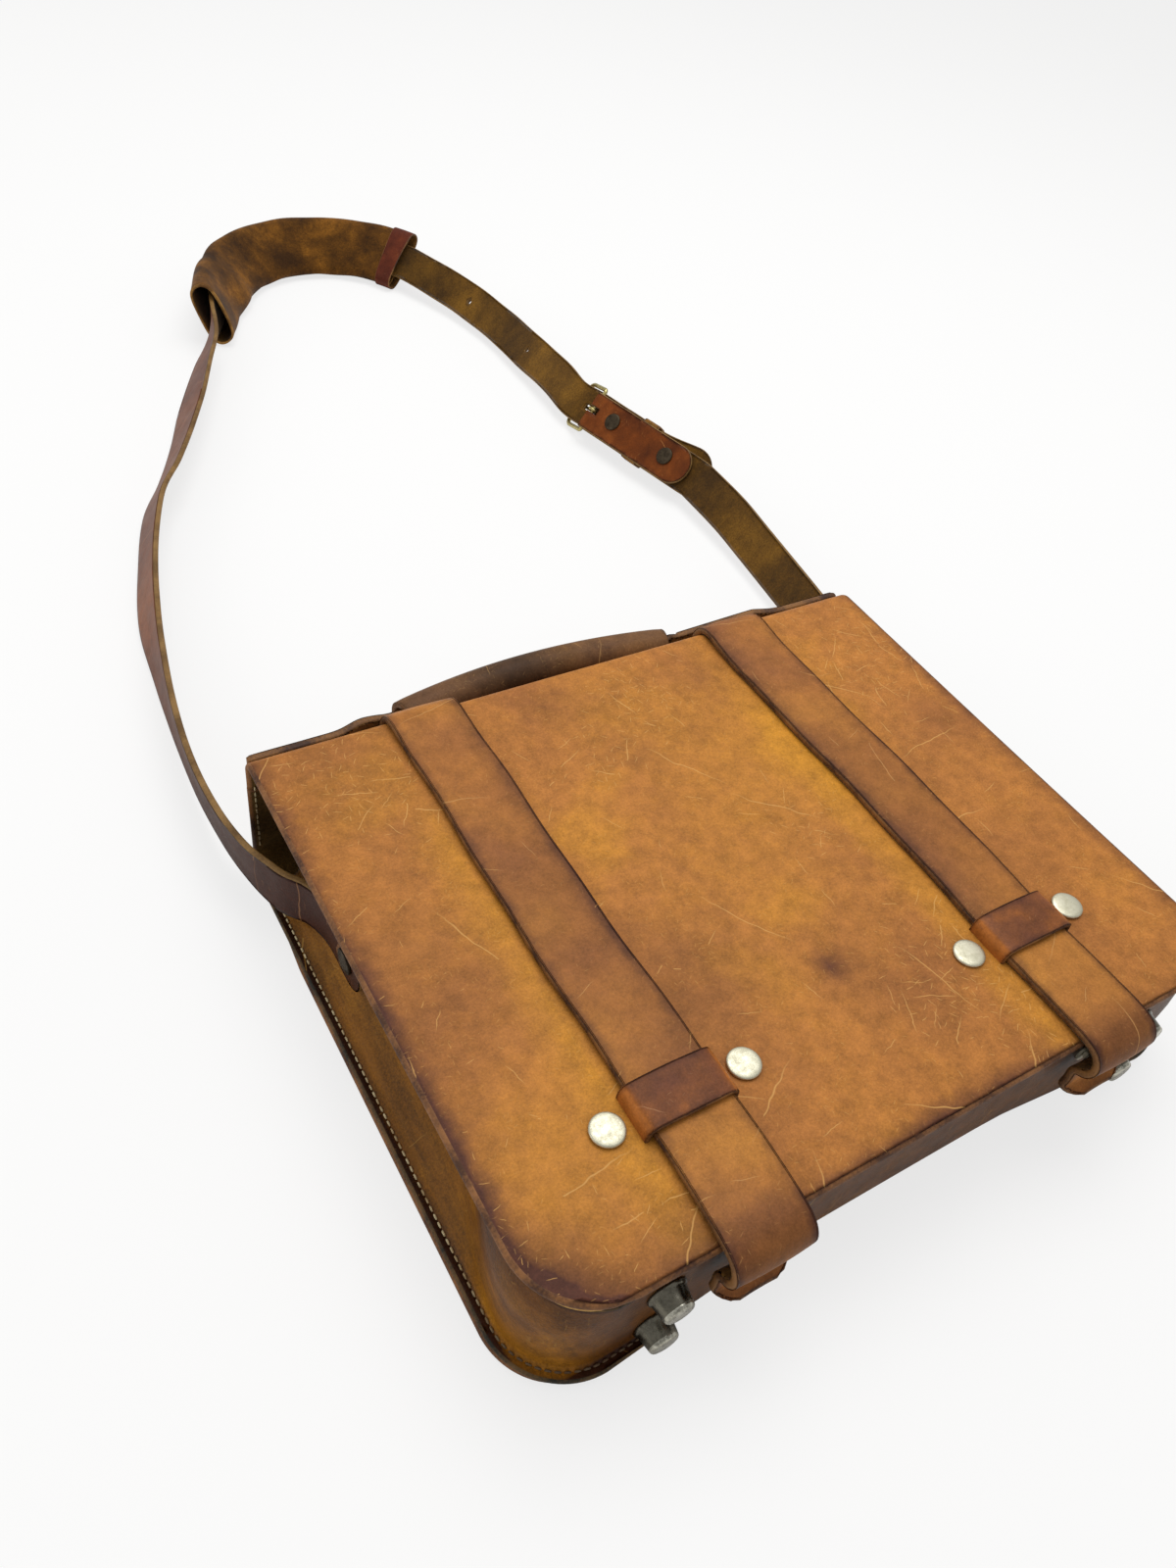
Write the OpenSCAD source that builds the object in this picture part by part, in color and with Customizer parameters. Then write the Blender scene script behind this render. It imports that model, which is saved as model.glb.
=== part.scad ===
// Leather satchel bag lying on its back: X across the bag, Y towards the handle, Z up.
// The origin is the centre of the back panel's outer face. Millimetres.

/* [Cover leather] */
// Width of the flap and of the top wall
flap_w = 370; // [320:1:400]
// Length of the bag from the flap's lower edge to the outside of the top wall
bag_h = 298; // [260:1:330]
// Depth of the closed bag, from the back panel's outer face to the flap's outer face
bag_d = 70; // [66:1:90]
// Thickness of the cover leather
cover_t = 4; // [3:0.5:5]
// Outer radius of the folds between back, top wall and flap
fold_r = 8; // [6:0.5:12]
// Radius of the flap's lower corners
flap_corner_r = 36; // [20:1:50]

/* [Back panel] */
// How far the back panel's seam edge stands past the flap on each side
back_past = 5; // [3:0.5:8]
// Radius of the back panel's lower corners
back_corner_r = 34; // [25:1:45]

/* [Gusset and front] */
// Thickness of the gusset leather
gusset_t = 3; // [2:0.5:3.5]
// How far the gusset stands in from the back panel's side edge
gusset_in = 6; // [4:0.5:8]
// How far the gusset stands in from the flap's lower edge
gusset_up = 3; // [2:0.5:4]
// Radius of the gusset's lower corners
gusset_corner_r = 30; // [24:1:36]
// How far the sides of the gusset fold inwards half way up
gusset_pinch = 16; // [10:1:18]
// Height of the gusset's and the front panel's top edge above the bag's centre
mouth_y = 118; // [100:1:124]
// Thickness of the front panel
front_t = 3.5; // [2.5:0.5:4]
// Free space between the front panel and the flap
front_gap = 5.5; // [5:0.5:8]
// Width of the stitched hem along the gusset's top edge
hem_w = 14; // [8:1:20]

/* [Closing straps] */
// Width of a closing strap
strap_w = 38; // [30:1:44]
// Thickness of a closing strap
strap_t = 4; // [3:0.5:4.5]
// Distance of each closing strap from the bag's centre line
strap_x = 96; // [80:1:110]
// How far a closing strap reaches down the top wall
strap_down = 46; // [30:1:50]
// How far the strap's end bulges past the flap's lower edge
bulge = 11.5; // [10:0.5:14]
// Height of the snap above the back
snap_z = 47; // [42:1:50]
// Height of the strap's tip above the back
tip_z = 33; // [28:1:36]
// Corner radius of the strap's tip
tip_r = 13; // [6:1:18]

/* [Keeper loops and flap rivets] */
// Length of a keeper loop along the strap
loop_l = 22; // [16:1:28]
// Distance of the keeper loops' lower edge from the flap's lower edge
loop_up = 47; // [40:1:70]
// Thickness of the keeper leather
loop_t = 2.5; // [2:0.25:3]
// Spacing of the two rivets of one loop
rivet_span = 65; // [60:1:75]
// Diameter of a flap rivet's cap
rivet_d = 15; // [11:0.5:16]
// Height of a flap rivet's cap
rivet_h = 2.4; // [1.6:0.1:3]
// Diameter of the rivets' shanks
shank_d = 4; // [3:0.5:5]

/* [Snaps and feet] */
// Diameter of the snap's cap
snap_d = 14; // [11:0.5:16]
// Diameter of a foot at the wall
foot_d = 17; // [14:0.5:18]
// Diameter of a foot at its end
foot_end_d = 12; // [9:0.5:13]
// Height of a foot
foot_h = 10; // [8:0.5:12]
// Distance of the feet from the bag's centre line
foot_x = 132; // [124:1:140]
// Height of the lower pair of feet above the back
foot_z1 = 15; // [13.5:0.5:18]
// Height of the upper pair of feet above the back
foot_z2 = 46; // [40:0.5:47]

/* [Handle] */
// Width of the strap that carries the grip
band_w = 34; // [26:1:36]
// Thickness of the strap that carries the grip
band_t = 4.5; // [3.5:0.5:5]
// Distance of the strap's ends from the bag's centre line
band_end = 180; // [170:1:182]
// Length of the rolled grip
grip_l = 165; // [130:1:170]
// Diameter of the rolled grip
grip_d = 20; // [17:0.5:22]
// Diameter of the grip's core
core_d = 13; // [10:0.5:15]
// How far the middle of the grip stands out past its ends
grip_rise = 8.5; // [5:0.5:14]
// Shift of the grip from the bag's centre line
grip_shift = -14; // [-18:1:0]
// Free space between the grip's ends and the closing straps
grip_gap = 1.5; // [1:0.5:5]

/* [Shoulder strap] */
// Width of the shoulder strap
sling_w = 30; // [26:1:32]
// Thickness of the shoulder strap
sling_t = 3.4; // [3:0.2:3.8]
// Distance of the anchor rivets from the bag's middle towards the handle
anchor_y = 48; // [44:1:52]
// Diameter of the anchor rivets' shanks
anchor_d = 6; // [5:0.5:7]
// Diameter of the anchor rivets' caps
anchor_cap_d = 13; // [11:0.5:15]
// Diameter of the adjusting holes
hole_d = 4.5; // [4:0.5:5.5]
// Spacing of the adjusting holes
hole_pitch = 92; // [60:1:100]

/* [Buckle] */
// Diameter of the buckle's wire
wire_d = 3.2; // [2.8:0.1:3.6]
// Length of the buckle from bar to bar
buckle_l = 22; // [20:1:26]
// Diameter of the prong
prong_d = 2.6; // [2.2:0.1:3]
// Thickness of the folded strap end that holds the buckle
chape_t = 2.6; // [2.2:0.1:3]
// Length of the folded strap end
chape_l = 104; // [96:1:110]
// Diameter of the strap rivets' caps
cap_d = 13; // [11:0.5:15]
// Width of the strap keeper
keeper_w = 15; // [10:1:18]

/* [Shoulder pad] */
// Radius of the pad's curve as it lies
pad_r = 95; // [94:0.5:96]
// Width of the pad
pad_w = 50; // [46:1:50]
// Thickness of the pad
pad_t = 13; // [12:0.5:13]
// Thickness of the pad's leather at its open mouth
pad_wall = 2.5; // [2:0.1:3]
// Width of the band at the pad's end
pad_band_w = 17; // [12:1:20]

/* [Hidden] */

// Running and soft clearances
gap = 0.3;
run = 0.05;
washer_t = 1.5;
washer_d = 11;

// Main planes of the bag
half_w = flap_w / 2;
half_h = bag_h / 2;
flap_z = bag_d - cover_t;
strap_z = bag_d + strap_t;
top_y = half_h - fold_r;
front_z = flap_z - front_gap - front_t;
wall_x = half_w + back_past - gusset_in;
wall_y = -half_h + gusset_up;

// Colours
tan = "#b37a3e";
strap_brown = "#9a653a";
loop_brown = "#7a4a30";
gusset_brown = "#8f5a1f";
flesh_brown = "#5f431d";
chestnut = "#7a3a14";
grip_brown = "#5e4033";
nickel = "#d8d8c8";
aged_brass = "#3a3428";
pale_brass = "#b7ae72";

// ---------- shared shapes ----------

// Plate in the XY plane from y0 to y1 with its two lower corners rounded
module tongue(w, y0, y1, r, t)
    linear_extrude(t) {
        translate([-w / 2, y0 + r]) square([w, y1 - y0 - r]);
        translate([-w / 2 + r, y0]) square([w - 2 * r, r + 1]);
        for (s = [-1, 1]) translate([s * (w / 2 - r), y0 + r]) circle(r, $fn = 72);
    }

// Extrudes a profile drawn in (y, z) along X, centred
module along_x(w)
    rotate([90, 0, 90]) linear_extrude(w, center = true) children();

// Quarter ring of the cover leather, drawn in (y, z), from angle a to a + 90
module quarter(cy, cz, r_out, t, a)
    translate([cy, cz]) intersection() {
        difference() {
            circle(r_out, $fn = 96);
            circle(r_out - t, $fn = 96);
        }
        rotate(a) square(r_out + 1);
    }

// Domed cap on a flat base, standing along +Z
module cap(d, h)
    rotate_extrude($fn = 48) {
        square([d / 2, h * 0.45]);
        intersection() {
            translate([0, h - sphere_r(d, h)]) circle(sphere_r(d, h), $fn = 120);
            translate([0, h * 0.45 - 0.01]) square([d / 2 - 0.4, h]);
        }
    }
function sphere_r(d, h) = (pow(d / 2, 2) + pow(h * 0.55, 2)) / (2 * h * 0.55);

module washer(d, bore, t)
    difference() {
        cylinder(d = d, h = t, $fn = 48);
        translate([0, 0, -1]) cylinder(d = bore, h = t + 2, $fn = 32);
    }

// Turns +Z to the bag's own directions
module face_down() rotate([180, 0, 0]) children();
module face_bottom() rotate([90, 0, 0]) children();
module face_top() rotate([-90, 0, 0]) children();
module face_side(s) rotate([0, s * 90, 0]) children();

// ---------- curves ----------

function unit(v) = v / norm(v);
function xyz(s) = [s[0], s[1], s[2]];
function spline(a, b, c, d, t) =
    0.5 * (2 * b + (c - a) * t + (2 * a - 5 * b + 4 * c - d) * t * t
    + (3 * b - a - 3 * c + d) * t * t * t);
function smooth(p, n) = [
    for (i = [0:len(p) - 2], k = [0:n - 1])
        spline(p[max(i - 1, 0)], p[i], p[i + 1], p[min(i + 2, len(p) - 1)], k / n),
    p[len(p) - 1]];
function heading(p, i) = unit(xyz(p[min(i + 1, len(p) - 1)]) - xyz(p[max(i - 1, 0)]));
function outward(t) = unit(cross(t, [0, 0, 1]));
function across(t, lean) =
    let (w = cos(lean) * [0, 0, 1] + sin(lean) * outward(t)) unit(w - (w * t) * t);

// Puts a ring of [thickness, width] offsets at c, square to t, with its width along w
function ring_at(c, t, w, ring) = [for (q = ring) c + q[0] * cross(t, w) + q[1] * w];
function place_ring(p, i, ring) =
    let (t = heading(p, i)) ring_at(xyz(p[i]), t, across(t, p[i][3]), ring);

// Skin over rings of equal length, closed at both ends
module skin(rings) {
    m = len(rings[0]);
    last = (len(rings) - 1) * m;
    polyhedron(
        points = [for (r = rings) each r],
        faces = concat(
            [for (k = [0:len(rings) - 2], i = [0:m - 1], up = [0, 1])
                let (j = (i + 1) % m)
                up == 0 ? [k * m + i, k * m + j, (k + 1) * m + j]
                    : [k * m + i, (k + 1) * m + j, (k + 1) * m + i]],
            [for (i = [0:ceil(m / 2) - 2], end = [0, last], up = [0, 1])
                let (a = [i, i + 1, m - 1 - i], b = [i + 1, m - 2 - i, m - 1 - i],
                    face = [for (p = up == 0 ? a : b) end + p])
                if (face[0] != face[1]) end == 0 ? [face[2], face[1], face[0]] : face]),
        convexity = 8);
}

function flat_ring(w, t) =
    [[-t / 2, -w / 2], [t / 2, -w / 2], [t / 2, w / 2], [-t / 2, w / 2]];
function slot_ring(w, t, m) = [
    for (i = [0:m - 1])
        let (a = 360 * (i + 0.5) / m)
        [t / 2 * cos(a), t / 2 * sin(a) + (w - t) / 2 * sign(sin(a))]];

// Rings of the shoulder strap along a path, and the half round that closes its start or end
function strap_rings(p) = [for (i = [0:len(p) - 1]) place_ring(p, i, flat_ring(sling_w, sling_t))];
function round_end(c, t, w, thick) =
    [for (b = [20:20:80])
        ring_at(c + sling_w / 2 * sin(b) * t, t, w, flat_ring(sling_w * cos(b), thick))];
function backwards(v) = [for (i = [len(v) - 1:-1:0]) v[i]];
function round_start(p) =
    let (t = heading(p, 0))
    backwards([for (b = [20:20:80])
        ring_at(xyz(p[0]) - sling_w / 2 * sin(b) * t, t, across(t, p[0][3]),
            flat_ring(sling_w * cos(b), sling_t))]);

// ---------- back, gusset and front ----------

function arc_points(cx, cy, r, a0, a1, n) =
    [for (i = [0:n]) [cx + r * cos(a0 + (a1 - a0) * i / n), cy + r * sin(a0 + (a1 - a0) * i / n)]];

module back_panel() {
    edge = half_w + back_past;
    r = back_corner_r;
    color(tan) {
        linear_extrude(cover_t) polygon(concat(
            [[half_w, top_y], [-half_w, top_y], [-edge, top_y * 0.5]],
            arc_points(-edge + r, -half_h + r, r, 180, 270, 10),
            arc_points(edge - r, -half_h + r, r, 270, 360, 10),
            [[edge, top_y * 0.5]]));
        along_x(flap_w) quarter(top_y, fold_r, fold_r, cover_t, 270);
    }
}

// Levels from the back to the front: share of the height, of the pinch and of the front's inset
gusset_levels = [[0, 0, 0], [1 / 6, 0.62, 0], [1 / 3, 1, 0], [2 / 3, 1, 0], [5 / 6, 0.7, 0.4], [1, 0, 1]];
gusset_front_in = 6;
function ease(x) = let (c = min(max(x, 0), 1)) c * c * (3 - 2 * c);

// Stations round the gusset: [x, y, direction to the inside, how much it is pinched]
gusset_cx = wall_x - gusset_corner_r;
gusset_cy = wall_y + gusset_corner_r;
gusset_side = [
    for (i = [0:8])
        let (y = mouth_y + (gusset_cy - mouth_y) * i / 8)
        [-wall_x, y, 0, ease((y - gusset_cy) / 70)]];
gusset_corner = [
    for (i = [1:7])
        let (a = 90 * i / 8)
        [-gusset_cx - gusset_corner_r * cos(a), gusset_cy - gusset_corner_r * sin(a), a, 0]];
gusset_half = concat(gusset_side, gusset_corner, [[-gusset_cx, wall_y, 90, 0]]);
gusset_path = concat(gusset_half, [
    for (i = [len(gusset_half) - 1:-1:0])
        let (s = gusset_half[i]) [-s[0], s[1], 180 - s[2], s[3]]]);

function gusset_point(s, k, extra) =
    let (level = gusset_levels[k],
        inset = s[3] * level[1] * gusset_pinch
            + abs(cos(s[2])) * level[2] * gusset_front_in + extra)
    [s[0] + inset * cos(s[2]), s[1] + inset * sin(s[2]), cover_t + (front_z - cover_t) * level[0]];
function gusset_ring(s, off, t) = let (top = len(gusset_levels) - 1) concat(
    [for (k = [0:top]) gusset_point(s, k, off)],
    [for (k = [top:-1:0]) gusset_point(s, k, off + t)]);

module gusset()
    color(gusset_brown) difference() {
        skin([for (s = gusset_path) gusset_ring(s, 0, gusset_t)]);
        for (p = foot_places) translate([p[0], wall_y + 10, p[1]])
            face_bottom() cylinder(d = shank_d + 4 * run, h = 20, $fn = 32);
        for (s = [-1, 1]) translate([s * strap_x, wall_y + 10, snap_z])
            face_bottom() cylinder(d = shank_d + 4 * run, h = 20, $fn = 32);
        for (s = [-1, 1]) translate([s * (wall_x - gusset_pinch - 10), anchor_y, anchor_z])
            face_side(s) cylinder(d = anchor_d + 4 * run, h = 20, $fn = 32);
    }

// Folded hem inside each top end of the gusset
module gusset_hems()
    color(flesh_brown) for (m = [0, 1]) mirror([m, 0, 0])
        skin([for (i = [0, 1])
            gusset_ring([-wall_x, mouth_y - hem_w * i, 0, 1], gusset_t + 0.05, 1.5)]);

front_past = 0.8;
front_w = 2 * (wall_x - gusset_front_in + front_past);
module front_panel()
    color(tan) translate([0, 0, front_z + 0.05])
        tongue(front_w, wall_y, mouth_y, gusset_corner_r - 3, front_t);

module front_panel_hem()
    color(flesh_brown)
        translate([-front_w / 2 + 10, mouth_y - hem_w, front_z - 1.5]) cube([front_w - 20, hem_w, 1.5]);

// ---------- feet and snaps on the bottom wall ----------

foot_places = [for (x = [-foot_x, foot_x], z = [foot_z1, foot_z2]) [x, z]];

module foot() {
    rotate_extrude($fn = 64) difference() {
        polygon([[0, 0], [foot_d / 2, 0], [foot_d / 2, 1.6], [foot_d / 2 - 1.5, 2.2],
            [foot_end_d / 2, foot_h - 1], [foot_end_d / 2 - 1, foot_h], [0, foot_h]]);
        translate([0, foot_h - 2]) square([foot_end_d / 2 - 2, 3]);
    }
    translate([0, 0, -gusset_t - washer_t])
        cylinder(d = shank_d, h = gusset_t + washer_t + 1, $fn = 32);
}

module bottom_feet()
    color("#8a8874") for (p = foot_places)
        translate([p[0], wall_y, p[1]]) face_bottom() foot();

module foot_washers()
    color(aged_brass) for (p = foot_places)
        translate([p[0], wall_y + gusset_t + washer_t, p[1]])
            face_bottom() washer(washer_d, shank_d + 2 * run, washer_t);

// Post of each snap, riveted to the bottom wall
stud_h = 3;
module snap_studs()
    color(nickel) for (s = [-1, 1]) translate([s * strap_x, wall_y, snap_z]) face_bottom() {
        cylinder(d = 11, h = 1, $fn = 48);
        cylinder(d = 5, h = stud_h - 0.5, $fn = 32);
        translate([0, 0, stud_h - 1.2]) cylinder(d = 6, h = 1.2, $fn = 32);
        translate([0, 0, -gusset_t - washer_t])
            cylinder(d = shank_d, h = gusset_t + washer_t + 0.5, $fn = 32);
    }

module snap_stud_washers()
    color(aged_brass) for (s = [-1, 1])
        translate([s * strap_x, wall_y + gusset_t + washer_t, snap_z])
            face_bottom() washer(washer_d, shank_d + 2 * run, washer_t);

// ---------- anchors of the shoulder strap ----------

anchor_z = cover_t + (front_z - cover_t) / 2;
pinch_x = wall_x - gusset_pinch;
tab_x = wall_x - 0.72 * gusset_pinch + gap;
module anchor_rivets()
    color(aged_brass) for (s = [-1, 1]) translate([0, anchor_y, anchor_z]) face_side(s) {
        translate([0, 0, pinch_x - gusset_t - washer_t])
            cylinder(d = anchor_d, h = tab_x + sling_t + gap + 1 - pinch_x + gusset_t + washer_t,
                $fn = 48);
        translate([0, 0, tab_x + sling_t + gap]) cap(anchor_cap_d, 2.2);
    }

module anchor_spacers()
    color(chestnut) for (s = [-1, 1]) translate([0, anchor_y, anchor_z]) face_side(s)
        translate([0, 0, pinch_x + 0.05])
            washer(14, anchor_d + 2 * run, tab_x - pinch_x - 0.3);

module anchor_washers()
    color(aged_brass) for (s = [-1, 1]) translate([0, anchor_y, anchor_z]) face_side(s)
        translate([0, 0, pinch_x - gusset_t - washer_t])
            washer(14, anchor_d + 2 * run, washer_t - 0.05);

// ---------- top wall with the straps' upper ends ----------

module top_wall()
    color(tan) difference() {
        along_x(flap_w) {
            translate([half_h - cover_t, fold_r + gap])
                square([cover_t, bag_d - 2 * fold_r - gap]);
            quarter(top_y, bag_d - fold_r, fold_r, cover_t, 0);
        }
        at_handle_rivets() translate([0, 0, -cover_t - 1])
            cylinder(d = shank_d + 4 * run, h = cover_t + 2, $fn = 32);
    }

module strap_top(s)
    color(strap_brown) translate([s * strap_x, 0, 0]) along_x(strap_w) {
        translate([half_h, bag_d - strap_down])
            square([strap_t, strap_down - fold_r]);
        quarter(top_y, bag_d - fold_r, fold_r + strap_t, strap_t, 0);
    }
module strap_top_left() strap_top(-1);
module strap_top_right() strap_top(1);

// ---------- flap with its straps, loops and rivets ----------

loop_y = -half_h + loop_up;
slit_in = strap_w / 2 + 0.5;
module flap()
    color(tan) difference() {
        translate([0, 0, flap_z])
            tongue(flap_w, -half_h, top_y - gap, flap_corner_r, cover_t);
        for (s = [-1, 1], e = [-1, 1]) {
            translate([s * strap_x + e * (slit_in + loop_t / 2), loop_y + loop_l / 2, bag_d])
                cube([loop_t + 2 * gap, loop_l + 2 * gap, 4 * cover_t], center = true);
            translate([s * strap_x + e * rivet_span / 2, loop_y + loop_l / 2, flap_z - 1])
                cylinder(d = shank_d + 4 * run, h = cover_t + 2, $fn = 32);
        }
    }

module closing_strap(s)
    color(strap_brown)
        translate([s * strap_x - strap_w / 2, -half_h - 1 + gap, bag_d + 0.02])
            cube([strap_w, top_y + half_h + 1 - 2 * gap, strap_t - 0.02]);
module closing_strap_left() closing_strap(-1);
module closing_strap_right() closing_strap(1);

// Leather band over the strap, through two slits and out to the rivets under the flap
loop_top = strap_z + gap;
loop_low = flap_z - loop_t - 0.1;
loop_end = rivet_span / 2 + 6.5;
module keeper_loop(s)
    color(loop_brown) translate([s * strap_x, loop_y, 0]) difference() {
        union() {
            rotate([90, 0, 0]) mirror([0, 0, 1]) linear_extrude(loop_l) {
                translate([-slit_in - loop_t, loop_top])
                    square([2 * (slit_in + loop_t), loop_t]);
                for (e = [-1, 1]) {
                    translate([e * (slit_in + loop_t / 2) - loop_t / 2, loop_low])
                        square([loop_t, loop_top + 0.5 - loop_low]);
                    translate([e * (slit_in + loop_end) / 2 - (loop_end - slit_in) / 2, loop_low])
                        square([loop_end - slit_in, loop_t]);
                }
            }
        }
        for (e = [-1, 1]) translate([e * rivet_span / 2, loop_l / 2, loop_low - 1])
            cylinder(d = shank_d + 4 * run, h = loop_t + 2, $fn = 32);
    }
module keeper_loop_left() keeper_loop(-1);
module keeper_loop_right() keeper_loop(1);

module at_flap_rivets()
    for (s = [-1, 1], e = [-1, 1])
        translate([s * strap_x + e * rivet_span / 2, loop_y + loop_l / 2, 0]) children();

module flap_rivets()
    color(nickel) at_flap_rivets() {
        translate([0, 0, bag_d + 0.02]) cap(rivet_d, rivet_h);
        translate([0, 0, loop_low - washer_t])
            cylinder(d = shank_d, h = bag_d + 0.5 - loop_low + washer_t, $fn = 32);
    }

module flap_rivet_washers()
    color(nickel) at_flap_rivets() translate([0, 0, loop_low - washer_t])
        washer(washer_d, shank_d + 2 * run, washer_t - 0.05);

// ---------- strap tails ----------

hinge_y = -half_h - 1;
snap_y = wall_y - stud_h - gap - 1 - strap_t / 2;
tail_line = smooth([
    [hinge_y, strap_z - strap_t / 2],
    [-half_h - bulge * 0.65, bag_d - 0.5],
    [-half_h - bulge + strap_t / 2, bag_d - 7.5],
    [(snap_y - half_h - bulge) / 2, bag_d - 13],
    [snap_y, snap_z + snap_d / 2 + 0.5],
    [snap_y, snap_z],
    [snap_y, snap_z - snap_d / 2 - 0.5],
    [snap_y - 2.5, tip_z]], 5);
function side_of(p, i) =
    let (d = unit(p[min(i + 1, len(p) - 1)] - p[max(i - 1, 0)])) [-d[1], d[0]];
function band_outline(p, t) = concat(
    [for (i = [0:len(p) - 1]) p[i] + side_of(p, i) * t / 2],
    [for (i = [len(p) - 1:-1:0]) p[i] - side_of(p, i) * t / 2]);

module strap_tail(s)
    color(strap_brown) translate([s * strap_x, 0, 0]) difference() {
        intersection() {
            along_x(strap_w) polygon(band_outline(tail_line, strap_t));
            face_bottom() translate([0, 0, -hinge_y - 5])
                tongue(strap_w, tip_z - 2, strap_z + 5, tip_r, 60);
            translate([-strap_w, hinge_y - 60, 0]) cube([2 * strap_w, 60, 2 * bag_d]);
        }
        translate([0, wall_y, snap_z]) face_bottom()
            cylinder(d = shank_d + 4 * run, h = 30, $fn = 32);
    }
module strap_tail_left() strap_tail(-1);
module strap_tail_right() strap_tail(1);

// Domed cap outside the strap, its shank and the socket inside, as one riveted piece
module snap_cap(s)
    color(nickel) translate([s * strap_x, snap_y, snap_z]) face_bottom() {
        translate([0, 0, strap_t / 2 + 0.4]) cap(snap_d, 2.6);
        translate([0, 0, -strap_t / 2 - 1]) cylinder(d = shank_d, h = strap_t + 2, $fn = 32);
        translate([0, 0, -strap_t / 2 - 1]) cylinder(d = 10, h = 0.8, $fn = 48);
    }
module snap_cap_left() snap_cap(-1);
module snap_cap_right() snap_cap(1);

// ---------- handle ----------

band_z = bag_d - 4 - band_w / 2;
band_y = half_h + strap_t + gap;
split_x = strap_x + strap_w / 2 + 5;
ramp = 16;
band_rivet_in = 12;

// Fixed end of the carrying strap, seen from above: flat on the wall, then over the strap
module handle_end(s)
    color(strap_brown) mirror([s > 0 ? 1 : 0, 0, 0]) difference() {
        translate([0, 0, band_z - band_w / 2]) linear_extrude(band_w) polygon([
            [-band_end, half_h + 0.05], [-split_x - ramp, half_h + 0.05], [-split_x - gap, band_y],
            [-split_x - gap, band_y + band_t], [-split_x - ramp, half_h + band_t],
            [-band_end + 2, half_h + band_t], [-band_end, half_h + band_t - 1.5]]);
        for (e = [-1, 1]) translate([-band_end + band_rivet_in, half_h, band_z + e * band_w / 4])
            face_top() translate([0, 0, -1]) cylinder(d = shank_d + 4 * run, h = 12, $fn = 32);
    }
module handle_end_left() handle_end(-1);
module handle_end_right() handle_end(1);

module at_handle_rivets()
    for (s = [-1, 1], e = [-1, 1])
        translate([s * (band_end - band_rivet_in), half_h, band_z + e * band_w / 4]) face_top() children();

module handle_rivets()
    color(aged_brass) at_handle_rivets()
        translate([0, 0, band_t + 0.02]) {
            cap(10, 1.8);
            translate([0, 0, -band_t - cover_t - washer_t])
                cylinder(d = shank_d, h = band_t + cover_t + washer_t + 0.5, $fn = 32);
        }

module handle_rivet_washers()
    color(aged_brass) at_handle_rivets() translate([0, 0, -cover_t - washer_t])
        washer(10, shank_d + 2 * run, washer_t - 0.05);

// The grip is an arc in plan through its two ends and its raised middle
grip_end_y = half_h + strap_t + grip_gap + grip_d / 2;
grip_arc_r = (pow(grip_l / 2, 2) + pow(grip_rise, 2)) / (2 * grip_rise);
grip_cy = grip_end_y + grip_rise - grip_arc_r;
grip_a = asin(grip_l / 2 / grip_arc_r);
module grip_arc(a)
    translate([grip_shift, grip_cy, band_z]) rotate([0, 0, 90 - a])
        rotate_extrude(angle = 2 * a, $fn = 720) translate([grip_arc_r, 0]) children();

module handle_grip()
    color(grip_brown) grip_arc(grip_a) difference() {
        circle(d = grip_d, $fn = 64);
        circle(d = core_d + 2 * run, $fn = 48);
    }

core_in = 12;
module handle_core()
    color(flesh_brown) grip_arc(grip_a - core_in / grip_arc_r * 57.3)
        circle(d = core_d, $fn = 48);

// Moving part of the carrying strap: flat over the closing strap, narrowed into the grip
module handle_strap(s)
    color(strap_brown) {
        end_x = grip_shift + s * (grip_l / 2 - core_in + 1);
        start_x = s * split_x;
        mid_x = grip_shift + s * (grip_l / 2 + 5);
        y0 = band_y + band_t / 2;
        rings = [for (q = [
            [start_x, y0, band_w], [(start_x + mid_x) / 2, y0 + 1.2, band_w - 4],
            [mid_x, grip_end_y - 2.6, 17], [grip_shift + s * grip_l / 2, grip_end_y - 0.4, 10.8],
            [end_x, grip_end_y + 0.4, 10.8]])
            [[q[0], q[1] - band_t / 2, band_z - q[2] / 2], [q[0], q[1] + band_t / 2, band_z - q[2] / 2],
                [q[0], q[1] + band_t / 2, band_z + q[2] / 2], [q[0], q[1] - band_t / 2, band_z + q[2] / 2]]];
        skin(s < 0 ? [for (i = [len(rings) - 1:-1:0]) rings[i]] : rings);
    }
module handle_strap_left() handle_strap(-1);
module handle_strap_right() handle_strap(1);

// ---------- shoulder strap ----------

// The buckle's own place: its bar, how the strap runs there and how far it leans over
buckle_at = [196, 452, 23];
buckle_yaw = 13;
lean = 42;
module at_buckle()
    translate(buckle_at) rotate([0, 0, buckle_yaw]) rotate([0, lean, 0]) children();
buckle_along = [-sin(buckle_yaw), cos(buckle_yaw), 0];
buckle_out = [cos(lean) * cos(buckle_yaw), cos(lean) * sin(buckle_yaw), -sin(lean)];
function from_buckle(u, n) = concat(buckle_at + u * buckle_along + n * buckle_out, [lean]);

// Layers of the overlap, measured outwards from the buckle's bar
bar_r = wire_d / 2;
wrap_in = bar_r + gap;
wrap_out = wrap_in + chape_t;
keeper_t = 1.6;
layer = keeper_t / 2 + 0.2 + chape_t / 2;
over = max(wrap_out, layer + chape_t / 2 + 0.6) + gap + sling_t / 2;

// Centre of the pad's curve
pad_c = [83, 694];
pad_z = 21.6;
function on_pad(a) = [pad_c[0] + pad_r * cos(a), pad_c[1] + pad_r * sin(a), pad_z, lean + 3];
pad_a0 = 31;
pad_a1 = 155;

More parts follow.
